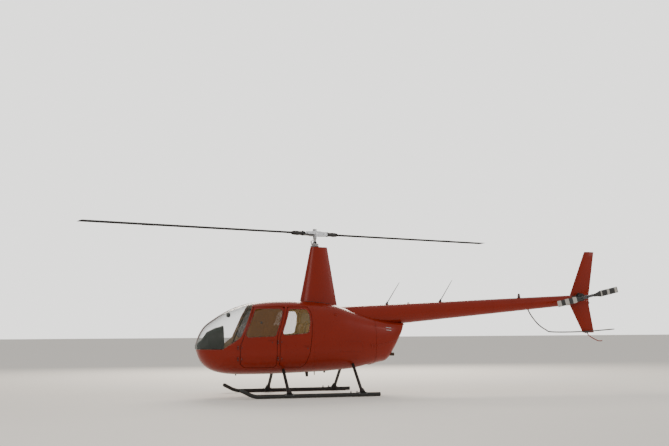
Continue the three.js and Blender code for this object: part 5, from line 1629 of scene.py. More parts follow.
fin_rivets = [wing_rivets(rows, axes, foot, (0.14, 0.62), 0.035) for rows, axes, foot, *_ in FINS.values()]
fin_rivets.append(wing_rivets(FAIRING, FIN_AXES, (0, 0, 0), (0.10, 0.80), 0.045))
tail_light = turned((6.150, FIN_Y, 1.810), (1, 0, 0), (0.018, 0), (0.018, 0.006), (0.014, 0.007),
                    (0.013, 0.018), (0.007, 0.024), sides=24)
piece("fin_rivets_and_tail_light", join(*fin_rivets, finished(tail_light, 1)),
      [body_paint, lamp_glass.material])


# Guard, tail skid, aerials and beacon

def belly_blade(x, depth, length, thickness):
    """An aerial or drain of aerofoil section under the belly, raked back."""
    foot = float(on_top(x, 0, under=True)[0][2])
    return wing([(foot - depth, x + length * 0.25, x + length, thickness * 0.7),
                 (foot + 0.010, x, x + length, thickness)], FIN_AXES, steps=4, first_tip=0.006)


BELLY_BLADES = ((-1.607, 0.026, 0.030, 0.010), (-0.217, 0.085, 0.070, 0.030), (-0.036, 0.065, 0.022, 0.009),
                (0.150, 0.028, 0.050, 0.018))
piece("belly_aerials", join(*[belly_blade(*row) for row in BELLY_BLADES]), gear_black)

GUARD_PATH = [(4.620, 1.735), (4.680, 1.610), (4.755, 1.494), (4.886, 1.347), (5.059, 1.232), (5.220, 1.187),
              (5.912, 1.190), (6.699, 1.240)]
GUARD_RADIUS = 0.013


def dashed(name, color, light, spacing, share):
    """Black coating with light bands at even steps along the piece."""
    f = Finish(name, color, 0.4, 0.1)
    band = f.math("LESS_THAN", f.math("FRACT", f.math("DIVIDE", f.along("X"), spacing)), share)
    worn = f.ramp(f.noise(0.01, 8, 0.7), 0.3, 0.6, 0.6, 1.0)
    f.paint(f.math("MULTIPLY", band, worn), light)
    f.rough(f.noise(0.02, 5), 0.3, 0.5)
    return f.bump(f.noise(0.004), 0.0003, 0.5).material


guard_bands = dashed("guard_bands", (0.014, 0.013, 0.012), (0.13, 0.115, 0.09), 0.30, 0.22)
guard_route = curve([(x, 0, z) for x, z in GUARD_PATH], 10)
guard_radius = np.full(len(guard_route), GUARD_RADIUS)
guard_radius[-2:] = (GUARD_RADIUS * 0.97, GUARD_RADIUS * 0.7)
piece("tail_guard_tube", tube(guard_route, guard_radius, 20, (0, 1, 0)), guard_bands,
      replaces=["tail_guard"])
guard_foot = np.array((4.628, 0, 1.7095))
guard_way = unit(np.array((0.60, 0, -1.25)))
guard_fittings = join(turned(guard_foot - guard_way * 0.006, guard_way, (0.030, 0), (0.030, 0.006),
                             (0.019, 0.012), (0.016, 0.050), sides=28),
                      block(6.021, 6.059, -0.008, 0.084, 1.157, 1.1645),
                      block(6.021, 6.059, -0.008, 0.008, 1.157, 1.197),
                      finished(scattered(bolt_head(0.006, 0.005),
                                         [(6.040, 0.068, 1.157), (6.040, -0.008, 1.172)],
                                         [(0, 0, -1), (0, -1, 0)]), 1))
piece("tail_guard_fittings", guard_fittings, [gear_black, bright_steel], bevel=0.0015)
TAIL_SKID = [(6.086, 1.1645), (6.100, 1.140), (6.150, 1.088), (6.335, 0.995), (6.446, 0.990)]
tail_skid_route = curve([(x, FIN_Y, z) for x, z in TAIL_SKID], 8)
skid_radius = np.full(len(tail_skid_route), 0.011)
skid_radius[-2:] = (0.0105, 0.007)
piece("tail_skid_bar", join(tube(tail_skid_route, skid_radius, 16, (0, 1, 0)),
                            turned((6.086, FIN_Y, 1.1648), (0.2, 0, -1), (0.018, 0), (0.017, 0.005),
                                   (0.013, 0.012))), body_paint, replaces=["tail_skid"])

whip_black = moulded("aerial_whip", (0.012, 0.012, 0.012), 0.002, 0.55).material
for name, x, tip_x, tip_z in (("aerial_front", 1.494, 1.781, 2.221), ("aerial_rear", 2.655, 2.943, 2.278)):
    radius, z = cone_at(x)
    top = float(z + radius)
    foot_plate = wing([(top - 0.008, x - 0.034, x + 0.046, 0.040), (top + 0.026, x - 0.012, x + 0.040, 0.028),
                       (top + 0.054, x + 0.012, x + 0.036, 0.020)], FIN_AXES, steps=4, tip=0.006)
    whip_path = line((x + 0.006, 0, top + 0.010), (tip_x, 0, tip_z - 0.002), steps=24)
    whip = tube(whip_path, np.append(np.linspace(0.0100, 0.0055, 23), 0.0030), 12, (0, 1, 0))
    screws = scattered(bolt_head(0.0035, 0.003), [(x + 0.003, s * 0.0145, top + 0.008) for s in (-1, 1)],
                       [(0, -1, 0), (0, 1, 0)])
    piece(f"{name}_whip", join(whip, finished(foot_plate, 1), finished(screws, 2)),
          [whip_black, gear_black, bright_steel], replaces=[name])

beacon_glass = Finish("beacon_lens", (0.060, 0.006, 0.004), 0.12, 0.0, Coat_Weight=0.5)
beacon_glass.paint(beacon_glass.ramp(beacon_glass.noise(0.02), 0.4, 0.7, 0, 0.5), (0.03, 0.004, 0.003))
beacon_glass.bump(beacon_glass.node("TexWave", Vector=beacon_glass.place(), Scale=60.0).outputs["Fac"],
                  0.0006, 0.5)
BEACON_X, BEACON_TOP = 4.451, 2.003
radius, z = cone_at(BEACON_X)
beacon_foot = float(z + radius)
beacon = lathe([(0.030, beacon_foot - 0.004), (0.030, beacon_foot + 0.020), (0.0285, BEACON_TOP - 0.055),
                (0.026, BEACON_TOP - 0.028), (0.020, BEACON_TOP - 0.010), (0.010, BEACON_TOP - 0.002),
                (0.002, BEACON_TOP - 0.0003)], (BEACON_X, 0, 0), sides=36)
beacon_base = lathe([(0.036, beacon_foot - 0.012), (0.036, beacon_foot + 0.006), (0.033, beacon_foot + 0.012),
                     (0.030, beacon_foot + 0.013)], (BEACON_X, 0, 0), sides=36)
piece("beacon_lamp", join(beacon, finished(beacon_base, 1)), [beacon_glass.material, gear_black],
      replaces=["beacon"])


# Cabin interior

SEAT_TOP = 0.745
SEAT_HALF = 0.435
CUSHION_Y = 0.2875  # middle of each seat, from the aircraft's middle
carpet = moulded("floor_carpet", (0.070, 0.060, 0.052), 0.003, 0.95, 0.002).material
vinyl = moulded("cabin_vinyl", (0.16, 0.12, 0.09), 0.002, 0.55).material
panel_black = moulded("console_black", (0.016, 0.020, 0.016), 0.0012, 0.62).material
dial_face = moulded("dial_face", (0.010, 0.010, 0.011), 0.003, 0.7, 0.0001).material
dial_marks = moulded("dial_marks", (0.70, 0.70, 0.62), 0.004, 0.6, 0.0001).material
dial_glass = pane("dial_glass", (0.06, 0.07, 0.07), 0.08).material
webbing = moulded("belt_webbing", (0.055, 0.050, 0.045), 0.0012, 0.8, 0.0006).material
leather_finish = Finish("seat_leather", (0.30, 0.165, 0.075), 0.5, 0.0, Coat_Weight=0.12, Coat_Roughness=0.35)
leather_finish.paint(leather_finish.ramp(leather_finish.noise(0.10, 5), 0.35, 0.7, 0, 0.5),
                     (0.20, 0.10, 0.045))
leather_finish.rough(leather_finish.noise(0.04, 5), 0.40, 0.62)
leather_cells = leather_finish.node("TexVoronoi", Vector=leather_finish.place(), Scale=420.0)
leather_finish.bump(leather_cells.outputs["Distance"], 0.0005, 0.5)
leather_finish.bump(leather_finish.noise(0.05, 4), 0.002, 0.4)
leather = leather_finish.material


def slab(x, half, low, high):
    """A flat closed plate whose half width changes along x."""
    across = np.linspace(-1, 1, 25)
    top = np.stack(np.broadcast_arrays(x[:, None], half[:, None] * across, high), -1)
    under = np.stack(np.broadcast_arrays(x[:, None], half[:, None] * across[::-1], low), -1)
    return outward(grid(np.concatenate([top, under], 1)))


floor_x = np.linspace(-2.12, BULKHEAD_X - 0.003, 70)
piece("cabin_carpet", slab(floor_x, half_width(floor_x, FLOOR_Z) - 0.034, FLOOR_Z - 0.014, FLOOR_Z), carpet,
      bevel=0.004)
wall_turn = circle(96)
wall_row = np.full(96, row_of(-0.165))
wall_outline = (hull(wall_row, wall_turn) - 0.031 * hull_normal(wall_row, wall_turn))[:, 1:]
wall_outline[:, 1] = np.maximum(wall_outline[:, 1], FLOOR_Z)
piece("bulkhead_lining", plate(wall_outline, -0.175, -0.155, "yz"), vinyl,
      replaces=["cabin_bulkhead"], bevel=0.003)


def seat_box(*outlines):
    """A seat's box on the floor, and the back's panel where it has one, across both seats."""
    return join(*[plate(outline, -SEAT_HALF, SEAT_HALF) for outline in outlines])


FRONT_BOX = [(-1.470, 0.550), (-0.900, 0.550), (-0.900, 0.743), (-1.450, 0.743)]
FRONT_BACK = [(-0.922, 0.735), (-0.900, 0.735), (-0.775, 1.345), (-0.795, 1.350)]
REAR_BOX = [(-0.660, 0.550), (-0.1755, 0.550), (-0.1755, 0.743), (-0.640, 0.743)]
piece("seat_box_front", seat_box(FRONT_BOX, FRONT_BACK), vinyl, replaces=["seat_base_front"],
      bevel=0.008)
piece("seat_box_rear", seat_box(REAR_BOX), vinyl, replaces=["seat_base_rear"], bevel=0.008)


def pad(length, width, thick, thin):
    """A cushion's cover before it is filled: rounded rectangles from the base up over the crown.

    The thickness goes evenly from thick at the front to thin at the back of its length."""
    profile = [(0.060, 0.0), (0.020, 0.002), (0.006, 0.020), (0.0, 0.5), (0.004, 0.72), (0.022, 0.90),
               (0.070, 0.97), (0.14, 1.0)]
    rings = []
    for inset, height in profile:
        flat = box_outline(length - 2 * inset, width - 2 * inset, 0.055, 5)
        level = thick + (thin - thick) * (flat[:, 0] / length + 0.5)
        rings.append(np.column_stack([flat, height * level if height > 0.1 else np.full(len(flat), height)]))
    return outward(grid(np.array(rings)))


PIPING_RADIUS = 0.0038
COVER_CELL = 0.010
FILL_PRESSURE = 4.0
FILL_REACH = 0.024
FILL_FRAMES = 20


def filled(name, one):
    """The closed cover remeshed evenly and blown up by a cloth run, read back as a shape.

    Each point makes 0.8 of its move, which is cut to FILL_REACH where it is longer."""
    mesh = bpy.data.meshes.new(name)
    mesh.from_pydata(one["points"].tolist(), [], one["quads"].tolist() + one["tris"].tolist())
    cover = bpy.data.objects.new(name, mesh)
    bpy.context.scene.collection.objects.link(cover)
    remesh = cover.modifiers.new("even_cells", "REMESH")
    remesh.mode = "VOXEL"
    remesh.voxel_size = COVER_CELL
    even = bpy.data.meshes.new_from_object(cover.evaluated_get(bpy.context.evaluated_depsgraph_get()))
    cover.modifiers.remove(remesh)
    cover.data = even
    start = np.zeros(len(even.vertices) * 3, np.float32)
    even.vertices.foreach_get("co", start)
    start = start.reshape(-1, 3).astype(float)
    faces = np.zeros(len(even.loops), np.int32)
    even.loops.foreach_get("vertex_index", faces)
    points = start
    cloth = cover.modifiers.new("fill", "CLOTH")
    cloth.settings.use_pressure = True
    cloth.settings.uniform_pressure_force = FILL_PRESSURE
    cloth.settings.effector_weights.gravity = 0
    cloth.point_cache.frame_start, cloth.point_cache.frame_end = 1, FILL_FRAMES
    for number in range(1, FILL_FRAMES + 1):
        bpy.context.scene.frame_set(number)
    blown = cover.evaluated_get(bpy.context.evaluated_depsgraph_get()).to_mesh()
    end = np.zeros(len(start) * 3, np.float32)
    blown.vertices.foreach_get("co", end)
    move = end.reshape(-1, 3) - start
    size = np.linalg.norm(move, axis=1, keepdims=True)
    points = start + move * np.minimum(1, FILL_REACH / np.maximum(size, 1e-9)) * 0.8
    bpy.context.scene.frame_set(1)
    bpy.data.objects.remove(cover)
    return shape(points, faces.reshape(-1, 4))


WAIST = (0.030, 0.034)  # share by which the sides come in, along and across
CHANNEL = {"depth": 0.009, "width": 0.008, "edge_width": 0.009, "fade": 0.006}


def sewn(one, length, width, channels, edge):
    """The filled cover with its sides pulled in between the corners and its channels sewn down.

    A channel is a soft groove, depth * exp(-(distance / width)^2), on the crown only. Two run the
    length at `edge` from the middle, and the others cross between them."""
    p = one["points"].copy()
    u, v = p[:, 0] / length * 2, p[:, 1] / width * 2
    p[:, 0] *= 1 - WAIST[0] * (1 - np.minimum(1, v**2))
    p[:, 1] *= 1 - WAIST[1] * (1 - np.minimum(1, u**2))
    crown = np.clip((p[:, 2] - 0.045) / 0.02, 0, 1)
    groove = np.exp(-((np.abs(p[:, 1]) - edge) / CHANNEL["edge_width"]) ** 2)
    between = 1 / (1 + np.exp((np.abs(p[:, 1]) - edge) / CHANNEL["fade"]))
    for place in channels:
        groove = np.maximum(groove, np.exp(-((p[:, 0] - place) / CHANNEL["width"]) ** 2) * between)
    p[:, 2] -= CHANNEL["depth"] * groove * crown
    return {**one, "points": p}


def welt(one, height):
    """Piping round the cover, where level rays towards its middle line meet it."""
    tree = BVHTree.FromPolygons(one["points"].tolist(), one["quads"].tolist())
    size = np.abs(one["points"]).max(0)
    path = []
    for a in circle(120):
        way = Vector((math.cos(a) * size[0], math.sin(a) * size[1], 0)).normalized()
        start = Vector((math.cos(a) * size[0], math.sin(a) * size[1], height)) * 1.2
        start.z = height
        hit = tree.ray_cast(start, -way)[0]
        path.append(hit if hit else start)
    path = np.array(path)
    for _ in range(3):
        path = (np.roll(path, 1, 0) + 2 * path + np.roll(path, -1, 0)) / 4
    return welded(tube(np.concatenate([path, path[:1]]), PIPING_RADIUS, 8, caps=False))


SEAT_SIZE = {"bottom": (0.515, 0.452, 0.088, 0.072), "back": (0.520, 0.452, 0.105, 0.078)}
covers = {}
for kind, (length, width, thick, thin) in SEAT_SIZE.items():
    channels = np.linspace(-0.15, 0.17, 4)
    cover = sewn(filled(f"{kind}_cover", pad(length, width, thick, thin)), length, width, channels, 0.145)
    covers[kind] = cover, welt(cover, 0.060)


def axes_at(foot, u, w, size=(1, 1, 1)):
    """A matrix that puts u, v and w of a cushion in the aircraft, with v across it."""
    u, w = Vector(u).normalized(), Vector(w).normalized()
    v = w.cross(u)
    turn = Matrix([[a * s for a, s in zip(row, size)] for row in zip(u, v, w)]).to_4x4()
    return Matrix.Translation(foot) @ turn


FRONT_LEAN = math.atan2(0.1064, 0.507)
SEATS = {
    # x, z of the cushion's foot and of the back's, the back's lean, and its cover's stretch along it
    "front": ((-1.198, SEAT_TOP + 0.001), (-0.853, 1.096), FRONT_LEAN, 0.97),
    "rear": ((-0.424, SEAT_TOP + 0.001), (-0.1765, 1.128), 0.0, 1.08),
}
for row_name, (bottom, back, lean, stretch) in SEATS.items():
    depth = 1.0 if row_name == "front" else 0.88
    for side_name, side in SIDES:
        y = side * CUSHION_Y
        places = {"bottom": axes_at((bottom[0], y, bottom[1]), (1, 0, 0), (0, 0, 1), (depth, 1, 1)),
                  "back": axes_at((back[0], y, back[1]), (math.sin(lean), 0, math.cos(lean)),
                                  (-math.cos(lean), 0, math.sin(lean)), (stretch, 1, 1))}
        for kind, node in (("bottom", "seat_cushion"), ("back", "seat_back")):
            cover, edging = covers[kind]
            made = piece(f"{node}_{row_name}_{side_name}_cover", placed(cover, places[kind]), leather,
                         replaces=[f"{node}_{row_name}_{side_name}"], smooth=180,
                         subdivide=1)
            piece(f"{node}_{row_name}_{side_name}_piping", placed(edging, places[kind]), leather)


BELT_WIDTH = 0.046
BELT_THICK = 0.0022


def belts(row_name, side):
    """A lap belt over the cushion with its buckle, and a shoulder strap down the back."""
    (x, z), (back_x, back_z), lean, stretch = SEATS[row_name]
    y = side * CUSHION_Y
    top = z + 0.112
    rear = x + 0.20 * (1.0 if row_name == "front" else 0.80)
    lap = [(rear + 0.02, y - 0.236, z + 0.02), (rear, y - 0.226, top - 0.015),
           (rear - 0.04, y - 0.14, top + 0.006), (rear - 0.07, y, top + 0.010),
           (rear - 0.04, y + 0.14, top + 0.006), (rear, y + 0.226, top - 0.015),
           (rear + 0.02, y + 0.236, z + 0.02)]
    up = np.array((math.sin(lean), 0, math.cos(lean)))
    out = np.array((-math.cos(lean), 0, math.sin(lean)))
    middle = np.array((back_x, y, back_z))
    reach = 0.128
    shoulder = [middle + up * (0.262 * stretch) + out * 0.055 + (0, side * 0.12, 0),
                middle + up * 0.19 + out * (reach - 0.012) + (0, side * 0.11, 0),
                middle + up * 0.0 + out * (reach + 0.006) + (0, side * 0.05, 0),
                middle - up * 0.16 + out * (reach + 0.002) + (0, -side * 0.03, 0),
                np.array((rear - 0.066, y - side * 0.03, top + 0.022))]
    shoulder_strap = sweep(curve(shoulder, 8), box_outline(BELT_WIDTH, BELT_THICK, BELT_THICK * 0.45, 2),
                           (0, 1, 0))
    lap_strap = outward(sweep(curve(lap, 8), box_outline(BELT_THICK, BELT_WIDTH, 0.001, 2), (0, 0, 1)))
    buckle = block(rear - 0.098, rear - 0.040, y - 0.034, y + 0.034, top + 0.0115, top + 0.025)
    return join(shoulder_strap, lap_strap, finished(buckle, 1))


for row_name in SEATS:
    for side_name, side in SIDES:
        piece(f"seat_belt_{row_name}_{side_name}", belts(row_name, side), [webbing, bright_steel],
              bevel=0.0008)


# Console and controls

HOOD = np.array([
    # x, low, high, half width
    (-2.338, 0.905, 1.010, 0.070), (-2.262, 0.905, 1.072, 0.112), (-2.150, 0.905, 1.232, 0.172),
    (-1.995, 0.905, 1.308, 0.203), (-1.862, 0.905, 1.344, 0.213),
])
FACE_X = -1.862


def hood_section(x, grow=0.0, pieces=40):
    """The hood's outline at x: a flat bottom and a superellipse over it."""
    _, low, high, half = (np.interp(x, HOOD[:, 0], HOOD[:, k]) for k in range(4))
    turn = np.linspace(0, np.pi, pieces)
    y = (half + grow) * np.sign(np.cos(turn)) * np.abs(np.cos(turn)) ** 0.45
    z = low + (high + grow - low) * np.abs(np.sin(turn)) ** 0.62
    return np.stack([np.full(pieces, x), y, z], -1)


hood_rows = np.array([hood_section(x) for x in np.linspace(-2.338, FACE_X, 30)])
hood = outward(grid(hood_rows))
lip_path = hood_section(-1.857, 0.001, 60)
lip = sweep(lip_path, box_outline(0.012, 0.016, 0.003), (1, 0, 0))
pedestal = [(-2.060, 0.552), (-1.862, 0.552), (-1.862, 0.975), (-1.872, 0.995), (-2.060, 0.995)]
RADIO_LOWS = (0.885, 0.825, 0.765)
radios = [block(-1.870, -1.858, -0.082, 0.082, low, low + 0.052) for low in RADIO_LOWS]
screens = [finished(block(-1.860, -1.8565, -0.055, 0.030, low + 0.016, low + 0.042), 2) for low in RADIO_LOWS]
knobs = [finished(turned((-1.859, y, low + 0.026), (1, 0, 0), (r, 0), (r, 0.010), (r * 0.8, 0.013), sides=18),
                  1) for low in RADIO_LOWS for y, r in ((0.060, 0.012), (-0.070, 0.006))]
piece("instrument_console", join(hood, lip, plate(pedestal, -0.110, 0.110), *radios, *screens, *knobs),
      [panel_black, knob_black, dial_glass], replaces=["console"], bevel=0.003)
DIALS = [(y, z, r) for z, ys, r in ((1.288, (-0.078, 0.078), 0.036),
                                    (1.204, (-0.140, -0.050, 0.050, 0.140), 0.038),
                                    (1.116, (-0.140, -0.050, 0.050, 0.140), 0.038),
                                    (1.040, (-0.165, -0.110, -0.055, 0.055, 0.110, 0.165), 0.022))
         for y in ys]


def dial(radius, hand):
    """A bezel, a black face with a ring of ticks, a pointer and its screw heads; it faces +Z."""
    bezel = lathe([(radius * 1.14, 0), (radius * 1.14, 0.003), (radius * 1.02, 0.005), (radius * 0.94, 0.004),
                   (radius * 0.94, 0.001)], sides=36)
    face = turned((0, 0, 0.0008), (0, 0, 1), (radius * 0.93, 0), (radius * 0.93, 0.0008), sides=36)
    ticks = []
    for k, a in enumerate(np.linspace(0.75 * np.pi, 2.25 * np.pi, 13)):
        length = radius * (0.18 if k % 3 else 0.28)
        mark = block(radius * 0.90 - length, radius * 0.90, -0.0007, 0.0007, 0.0015, 0.0021)
        ticks.append(placed(mark, Matrix.Rotation(-a, 4, "Z")))
    pointer = shape([(-radius * 0.15, 0.0016, 0.003), (-radius * 0.15, -0.0016, 0.003),
                     (radius * 0.75, 0, 0.003), (-radius * 0.15, 0.0016, 0.0022),
                     (-radius * 0.15, -0.0016, 0.0022), (radius * 0.75, 0, 0.0022)],
                    [(0, 1, 4, 3), (1, 2, 5, 4), (2, 0, 3, 5)], [(0, 2, 1), (3, 4, 5)])
    pointer = outward(pointer)
    hub = turned((0, 0, 0.002), (0, 0, 1), (0.003, 0), (0.003, 0.0025), sides=12)
    marks = join(*ticks, placed(pointer, Matrix.Rotation(hand, 4, "Z")))
    screws = scattered(bolt_head(0.0022, 0.0012), [(radius * 1.12 * c, radius * 1.12 * s, 0.001)
                                                   for c in (-1, 1) for s in (-1, 1)], [(0, 0, 1)] * 4)
    return join(bezel, finished(face, 1), finished(marks, 2), hub, screws)


to_cabin = Matrix(((0, 0, 1), (1, 0, 0), (0, 1, 0))).to_4x4()
dials = join(*[placed(dial(r, 0.9 * k), Matrix.Translation((FACE_X + 0.0002, y, z)) @ to_cabin)
               for k, (y, z, r) in enumerate(DIALS)])
piece("instrument_dials", dials, [knob_black, dial_face, dial_marks])

STICK_X, STICK_TOP = -1.560, 1.060
stick_post = tube(curve([(-1.602, 0, 0.530), (-1.600, 0, 0.700), (-1.585, 0, 0.900), (STICK_X, 0, STICK_TOP)],
                        8), 0.014, 16, (0, 1, 0))
stick_bar = tube(line((STICK_X, -0.230, STICK_TOP), (STICK_X, 0.230, STICK_TOP), steps=12), 0.011, 16)
stick_joint = turned((STICK_X, -0.026, STICK_TOP), (0, 1, 0), (0.020, 0), (0.022, 0.004), (0.022, 0.048),
                     (0.020, 0.052))
stick_boot = lathe([(0.050, 0.552), (0.046, 0.560), (0.040, 0.566), (0.042, 0.576), (0.032, 0.584),
                    (0.034, 0.594), (0.0245, 0.604), (0.0145, 0.615)], (-1.602, 0, 0), sides=28)


def grip(y):
    """A hand grip hanging from the bar, ribbed for the fingers, with two buttons."""
    top = np.array((STICK_X, y, 1.062))
    ribs = np.linspace(0, 1, 34)
    radius = 0.0155 + 0.0012 * np.cos(ribs * 2 * np.pi * 4) * (ribs > 0.2) * (ribs < 0.9)
    radius[[0, -1]] *= 0.6
    way = np.array((0.012, 0, -0.110))
    body = tube(top + way * ribs[:, None], radius, 18, (0, 1, 0))
    buttons = [turned(top + way * a + (-0.012, 0, 0), (-1, 0, 0), (0.005, 0), (0.005, 0.006), (0.004, 0.0075),
                      sides=12) for a in (0.12, 0.3)]
    return join(body, *buttons)


piece("cyclic_control", join(stick_post, stick_bar, stick_joint,
                             finished(join(stick_boot, grip(-0.225), grip(0.225)), 1)), [knob_black, rubber],
      replaces=["cyclic_stick"], bevel=0.001)


def pedal(y):
    """A foot pedal: a bent tube from the floor with a ribbed pad."""
    stem = tube(curve([(-1.905, y, 0.545), (-1.915, y, 0.620), (-1.950, y, 0.700), (-1.962, y, 0.745)], 6),
                0.0085, 12, (0, 1, 0))
    pad_plate = placed(join(block(-0.004, 0.004, -0.036, 0.036, -0.045, 0.045),
                            *[block(0.003, 0.007, -0.032, 0.032, h - 0.002, h + 0.002)
                              for h in np.linspace(-0.034, 0.034, 6)]),
                       Matrix.Translation((-1.958, y, 0.760)) @ Matrix.Rotation(-0.35, 4, "Y"))
    return join(stem, pad_plate)


LEVER_X, SIDE_LEVER_Y = -0.985, -0.540


def collective(y):
    """A lift lever beside the seat with its twist grip."""
    route = curve([(LEVER_X, y, 0.790), (-1.150, y, 0.835), (-1.330, y, 0.915), (-1.400, y, 0.950)], 6)
    twist = np.linspace(0, 1, 24)
    start, end = np.array((-1.395, y, 0.9475)), np.array((-1.520, y, 1.010))
    radius = 0.018 + 0.0008 * np.cos(twist * 60)
    radius[[0, -1]] *= 0.7
    return join(tube(route, 0.0105, 14, (0, 1, 0)),
                finished(tube(start + (end - start) * twist[:, None], radius, 18, (0, 1, 0)), 1))


piece("foot_pedals", join(*[pedal(s * y) for s in (-1, 1) for y in (0.165, 0.295)]), gear_black,
      replaces=["foot_pedals_left", "foot_pedals_right"], bevel=0.001)
lever_post = rod((LEVER_X, 0, 0.7455), (LEVER_X, 0, 0.800), 0.0105)
side_post = join(rod((LEVER_X, SIDE_LEVER_Y, 0.682), (LEVER_X, SIDE_LEVER_Y, 0.800), 0.0105),
                 rod((LEVER_X, -0.548, 0.690), (LEVER_X, -0.4355, 0.690), 0.0105))
piece("lift_levers", join(collective(0), collective(SIDE_LEVER_Y), lever_post, side_post),
      [gear_black, rubber], replaces=["lift_lever_left", "lift_lever_middle"])
COMPASS = (-1.738, 0, 1.557)
compass_case = lathe([(0.020, -0.046), (0.032, -0.038), (0.040, -0.015), (0.041, 0.013), (0.034, 0.032),
                      (0.017, 0.042)], COMPASS, (0, 0, 1), 28)
compass_stem = rod((COMPASS[0], 0, COMPASS[2] + 0.036), (COMPASS[0], 0, COMPASS[2] + 0.064), 0.006)
piece("compass_unit", join(compass_case, compass_stem), knob_black, replaces=["compass"])


# Engine and exhaust

ENGINE_MIDDLE_Z = 0.840
engine_casting = bare_metal("engine_casting", (0.17, 0.17, 0.17), 0.55, stained=0.5).material
cylinder_grey = coated_metal("cylinder_grey", (0.10, 0.10, 0.105), STEEL_GREY, 0.2, 0.5, 0.5).material
burnt_steel = bare_metal("burnt_steel", (0.07, 0.050, 0.038), 0.5, stain=(0.03, 0.02, 0.014),
                         stained=0.7).material


def cylinder(x, side):
    """A finned barrel, its head and rocker cover, lying across the aircraft."""
    fins = [(0.072, 0.130)]
    for k in range(11):
        at = 0.136 + 0.0085 * k
        fins += [(0.058, at), (0.076, at + 0.001), (0.076, at + 0.0028), (0.058, at + 0.0038)]
    fins += [(0.066, 0.232), (0.080, 0.236), (0.080, 0.268), (0.070, 0.272)]
    barrel = lathe(fins, (x, 0, ENGINE_MIDDLE_Z), (0, side, 0), 36)
    cover = sweep(line((x - 0.058, side * 0.296, ENGINE_MIDDLE_Z), (x + 0.058, side * 0.296, ENGINE_MIDDLE_Z),
                       steps=4), box_outline(0.056, 0.090, 0.014), (0, 0, 1), [0.9, 1, 1, 0.9])
    runner = tube(curve([(x + 0.030, side * 0.245, ENGINE_MIDDLE_Z - 0.070),
                         (x + 0.020, side * 0.225, ENGINE_MIDDLE_Z - 0.125),
                         (x - 0.010, side * 0.130, ENGINE_MIDDLE_Z - 0.160),
                         (x - 0.020, side * 0.060, ENGINE_MIDDLE_Z - 0.165)], 6), 0.019, 14, (1, 0, 0))
    stack = tube(curve([(x - 0.040, side * 0.262, ENGINE_MIDDLE_Z - 0.070),
                        (x - 0.030, side * 0.285, ENGINE_MIDDLE_Z - 0.120),
                        (x + 0.020, side * 0.288, ENGINE_MIDDLE_Z - 0.150)], 6), 0.020, 14, (1, 0, 0))
    return join(barrel, cover, runner, finished(stack, 1))


cylinders = join(*[cylinder(x + (0.018 if side > 0 else -0.018), side) for x in (0.300, 0.470, 0.640)
                   for side in (-1, 1)])
collector = join(*[tube(line((0.255, side * 0.288, ENGINE_MIDDLE_Z - 0.152),
                             (0.845, side * 0.288, ENGINE_MIDDLE_Z - 0.152), steps=10), 0.025, 18)
                   for side in (-1, 1)])
crankcase = [block(0.205, 0.745, -0.128, 0.128, 0.745, 0.955),
             block(0.235, 0.715, -0.095, 0.095, 0.655, 0.750)]
fan = turned((0.748, 0, ENGINE_MIDDLE_Z + 0.01), (1, 0, 0), (0.150, 0), (0.158, 0.010), (0.158, 0.080),
             (0.120, 0.095), sides=40)
mounts = [rod((-0.154, s * 0.240, z), (0.210, s * 0.110, z + (0.07 if z < 0.8 else -0.03)), 0.012)
          for s in (-1, 1) for z in (0.700, 0.950)]
piece("flat_six_engine", join(cylinders, finished(collector, 1), finished(join(*crankcase, fan, *mounts), 2)),
      [cylinder_grey, burnt_steel, engine_casting], replaces=["engine_block"],
      bevel=0.004)
pipe = tube(line((1.340, PIPE_Y, 0.772), (1.582, PIPE_Y, 0.7652), steps=12), 0.032, 28)
pipe_lip = lathe([(0.0285, 1.5895), (0.0325, 1.589), (0.0335, 1.580), (0.0325, 1.570), (0.027, 1.568),
                  (0.027, 1.50), (0.004, 1.495)], (0, PIPE_Y, 0.7653), (1, 0, 0), 28)
MUFFLER_Z = 0.775
muffler = turned((0.850, PIPE_Y, MUFFLER_Z), (1, 0, 0), (0.030, 0), (0.066, 0.012), (0.072, 0.030),
                 (0.072, 0.465), (0.066, 0.483), (0.034, 0.495), sides=40)
bands = [turned((x, PIPE_Y, MUFFLER_Z), (1, 0, 0), (0.0735, 0), (0.0735, 0.018), sides=40)
         for x in (0.95, 1.22)]
piece("exhaust_muffler", join(pipe, pipe_lip, muffler, *bands), burnt_steel, replaces=["exhaust"])


# Stage

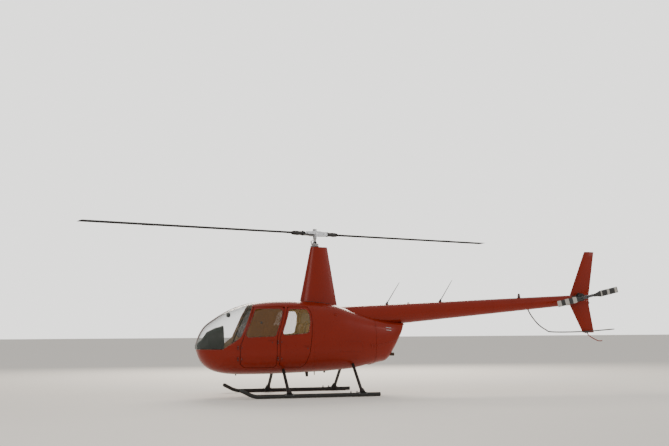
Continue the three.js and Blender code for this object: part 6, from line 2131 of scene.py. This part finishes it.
def area_light(name, place, target, size, power, color=(1, 1, 1)):
    data = bpy.data.lights.new(name, "AREA")
    data.shape = "RECTANGLE"
    data.size, data.size_y = size
    data.energy = power
    data.color = color
    made = bpy.data.objects.new(name, data)
    bpy.context.scene.collection.objects.link(made)
    aim = Vector(target) - Vector(place)
    made.matrix_world = Matrix.Translation(place) @ aim.to_track_quat("-Z", "Y").to_matrix().to_4x4()


def make_stage():
    """A pale floor under a pale sky with three soft lights."""
    f = Finish("studio_floor", (0.80, 0.78, 0.74), 0.8)
    f.paint(f.ramp(f.noise(1.5, 3), 0.4, 0.7, 0, 0.15), (0.74, 0.72, 0.68))
    f.bump(f.noise(0.02, 3), 0.0005, 0.3)
    mesh = bpy.data.meshes.new("floor")
    half = 900
    mesh.from_pydata([(-half, -half, 0), (half, -half, 0), (half, half, 0), (-half, half, 0)], [],
                     [(0, 1, 2, 3)])
    mesh.materials.append(f.material)
    floor = bpy.data.objects.new("floor", mesh)
    bpy.context.scene.collection.objects.link(floor)
    world = bpy.data.worlds.new("soft_sky")
    bpy.context.scene.world = world
    world.use_nodes = True
    nodes, links = world.node_tree.nodes, world.node_tree.links
    fill, backdrop = nodes["Background"], nodes.new("ShaderNodeBackground")
    for background, color, strength in ((fill, (1.0, 0.97, 0.93), 0.75), (backdrop, (1.0, 0.99, 0.96), 2.0)):
        background.inputs["Color"].default_value = (*color, 1)
        background.inputs["Strength"].default_value = strength
    seen, chosen = nodes.new("ShaderNodeLightPath"), nodes.new("ShaderNodeMixShader")
    # The camera sees a brighter sky than the one that lights the aircraft
    links.new(seen.outputs["Is Camera Ray"], chosen.inputs[0])
    links.new(fill.outputs[0], chosen.inputs[1])
    links.new(backdrop.outputs[0], chosen.inputs[2])
    links.new(chosen.outputs[0], nodes["World Output"].inputs["Surface"])
    area_light("key_light", (-9, -12, 8), (-1, 0, 1.2), (9, 6), 500, (1.0, 0.96, 0.9))
    area_light("back_light", (2, 13, 9), (0, 0, 1.5), (12, 5), 2300, (1.0, 0.90, 0.78))
    area_light("tail_light_soft", (13, -6, 7), (2, 0, 1.5), (6, 6), 300)


make_stage()
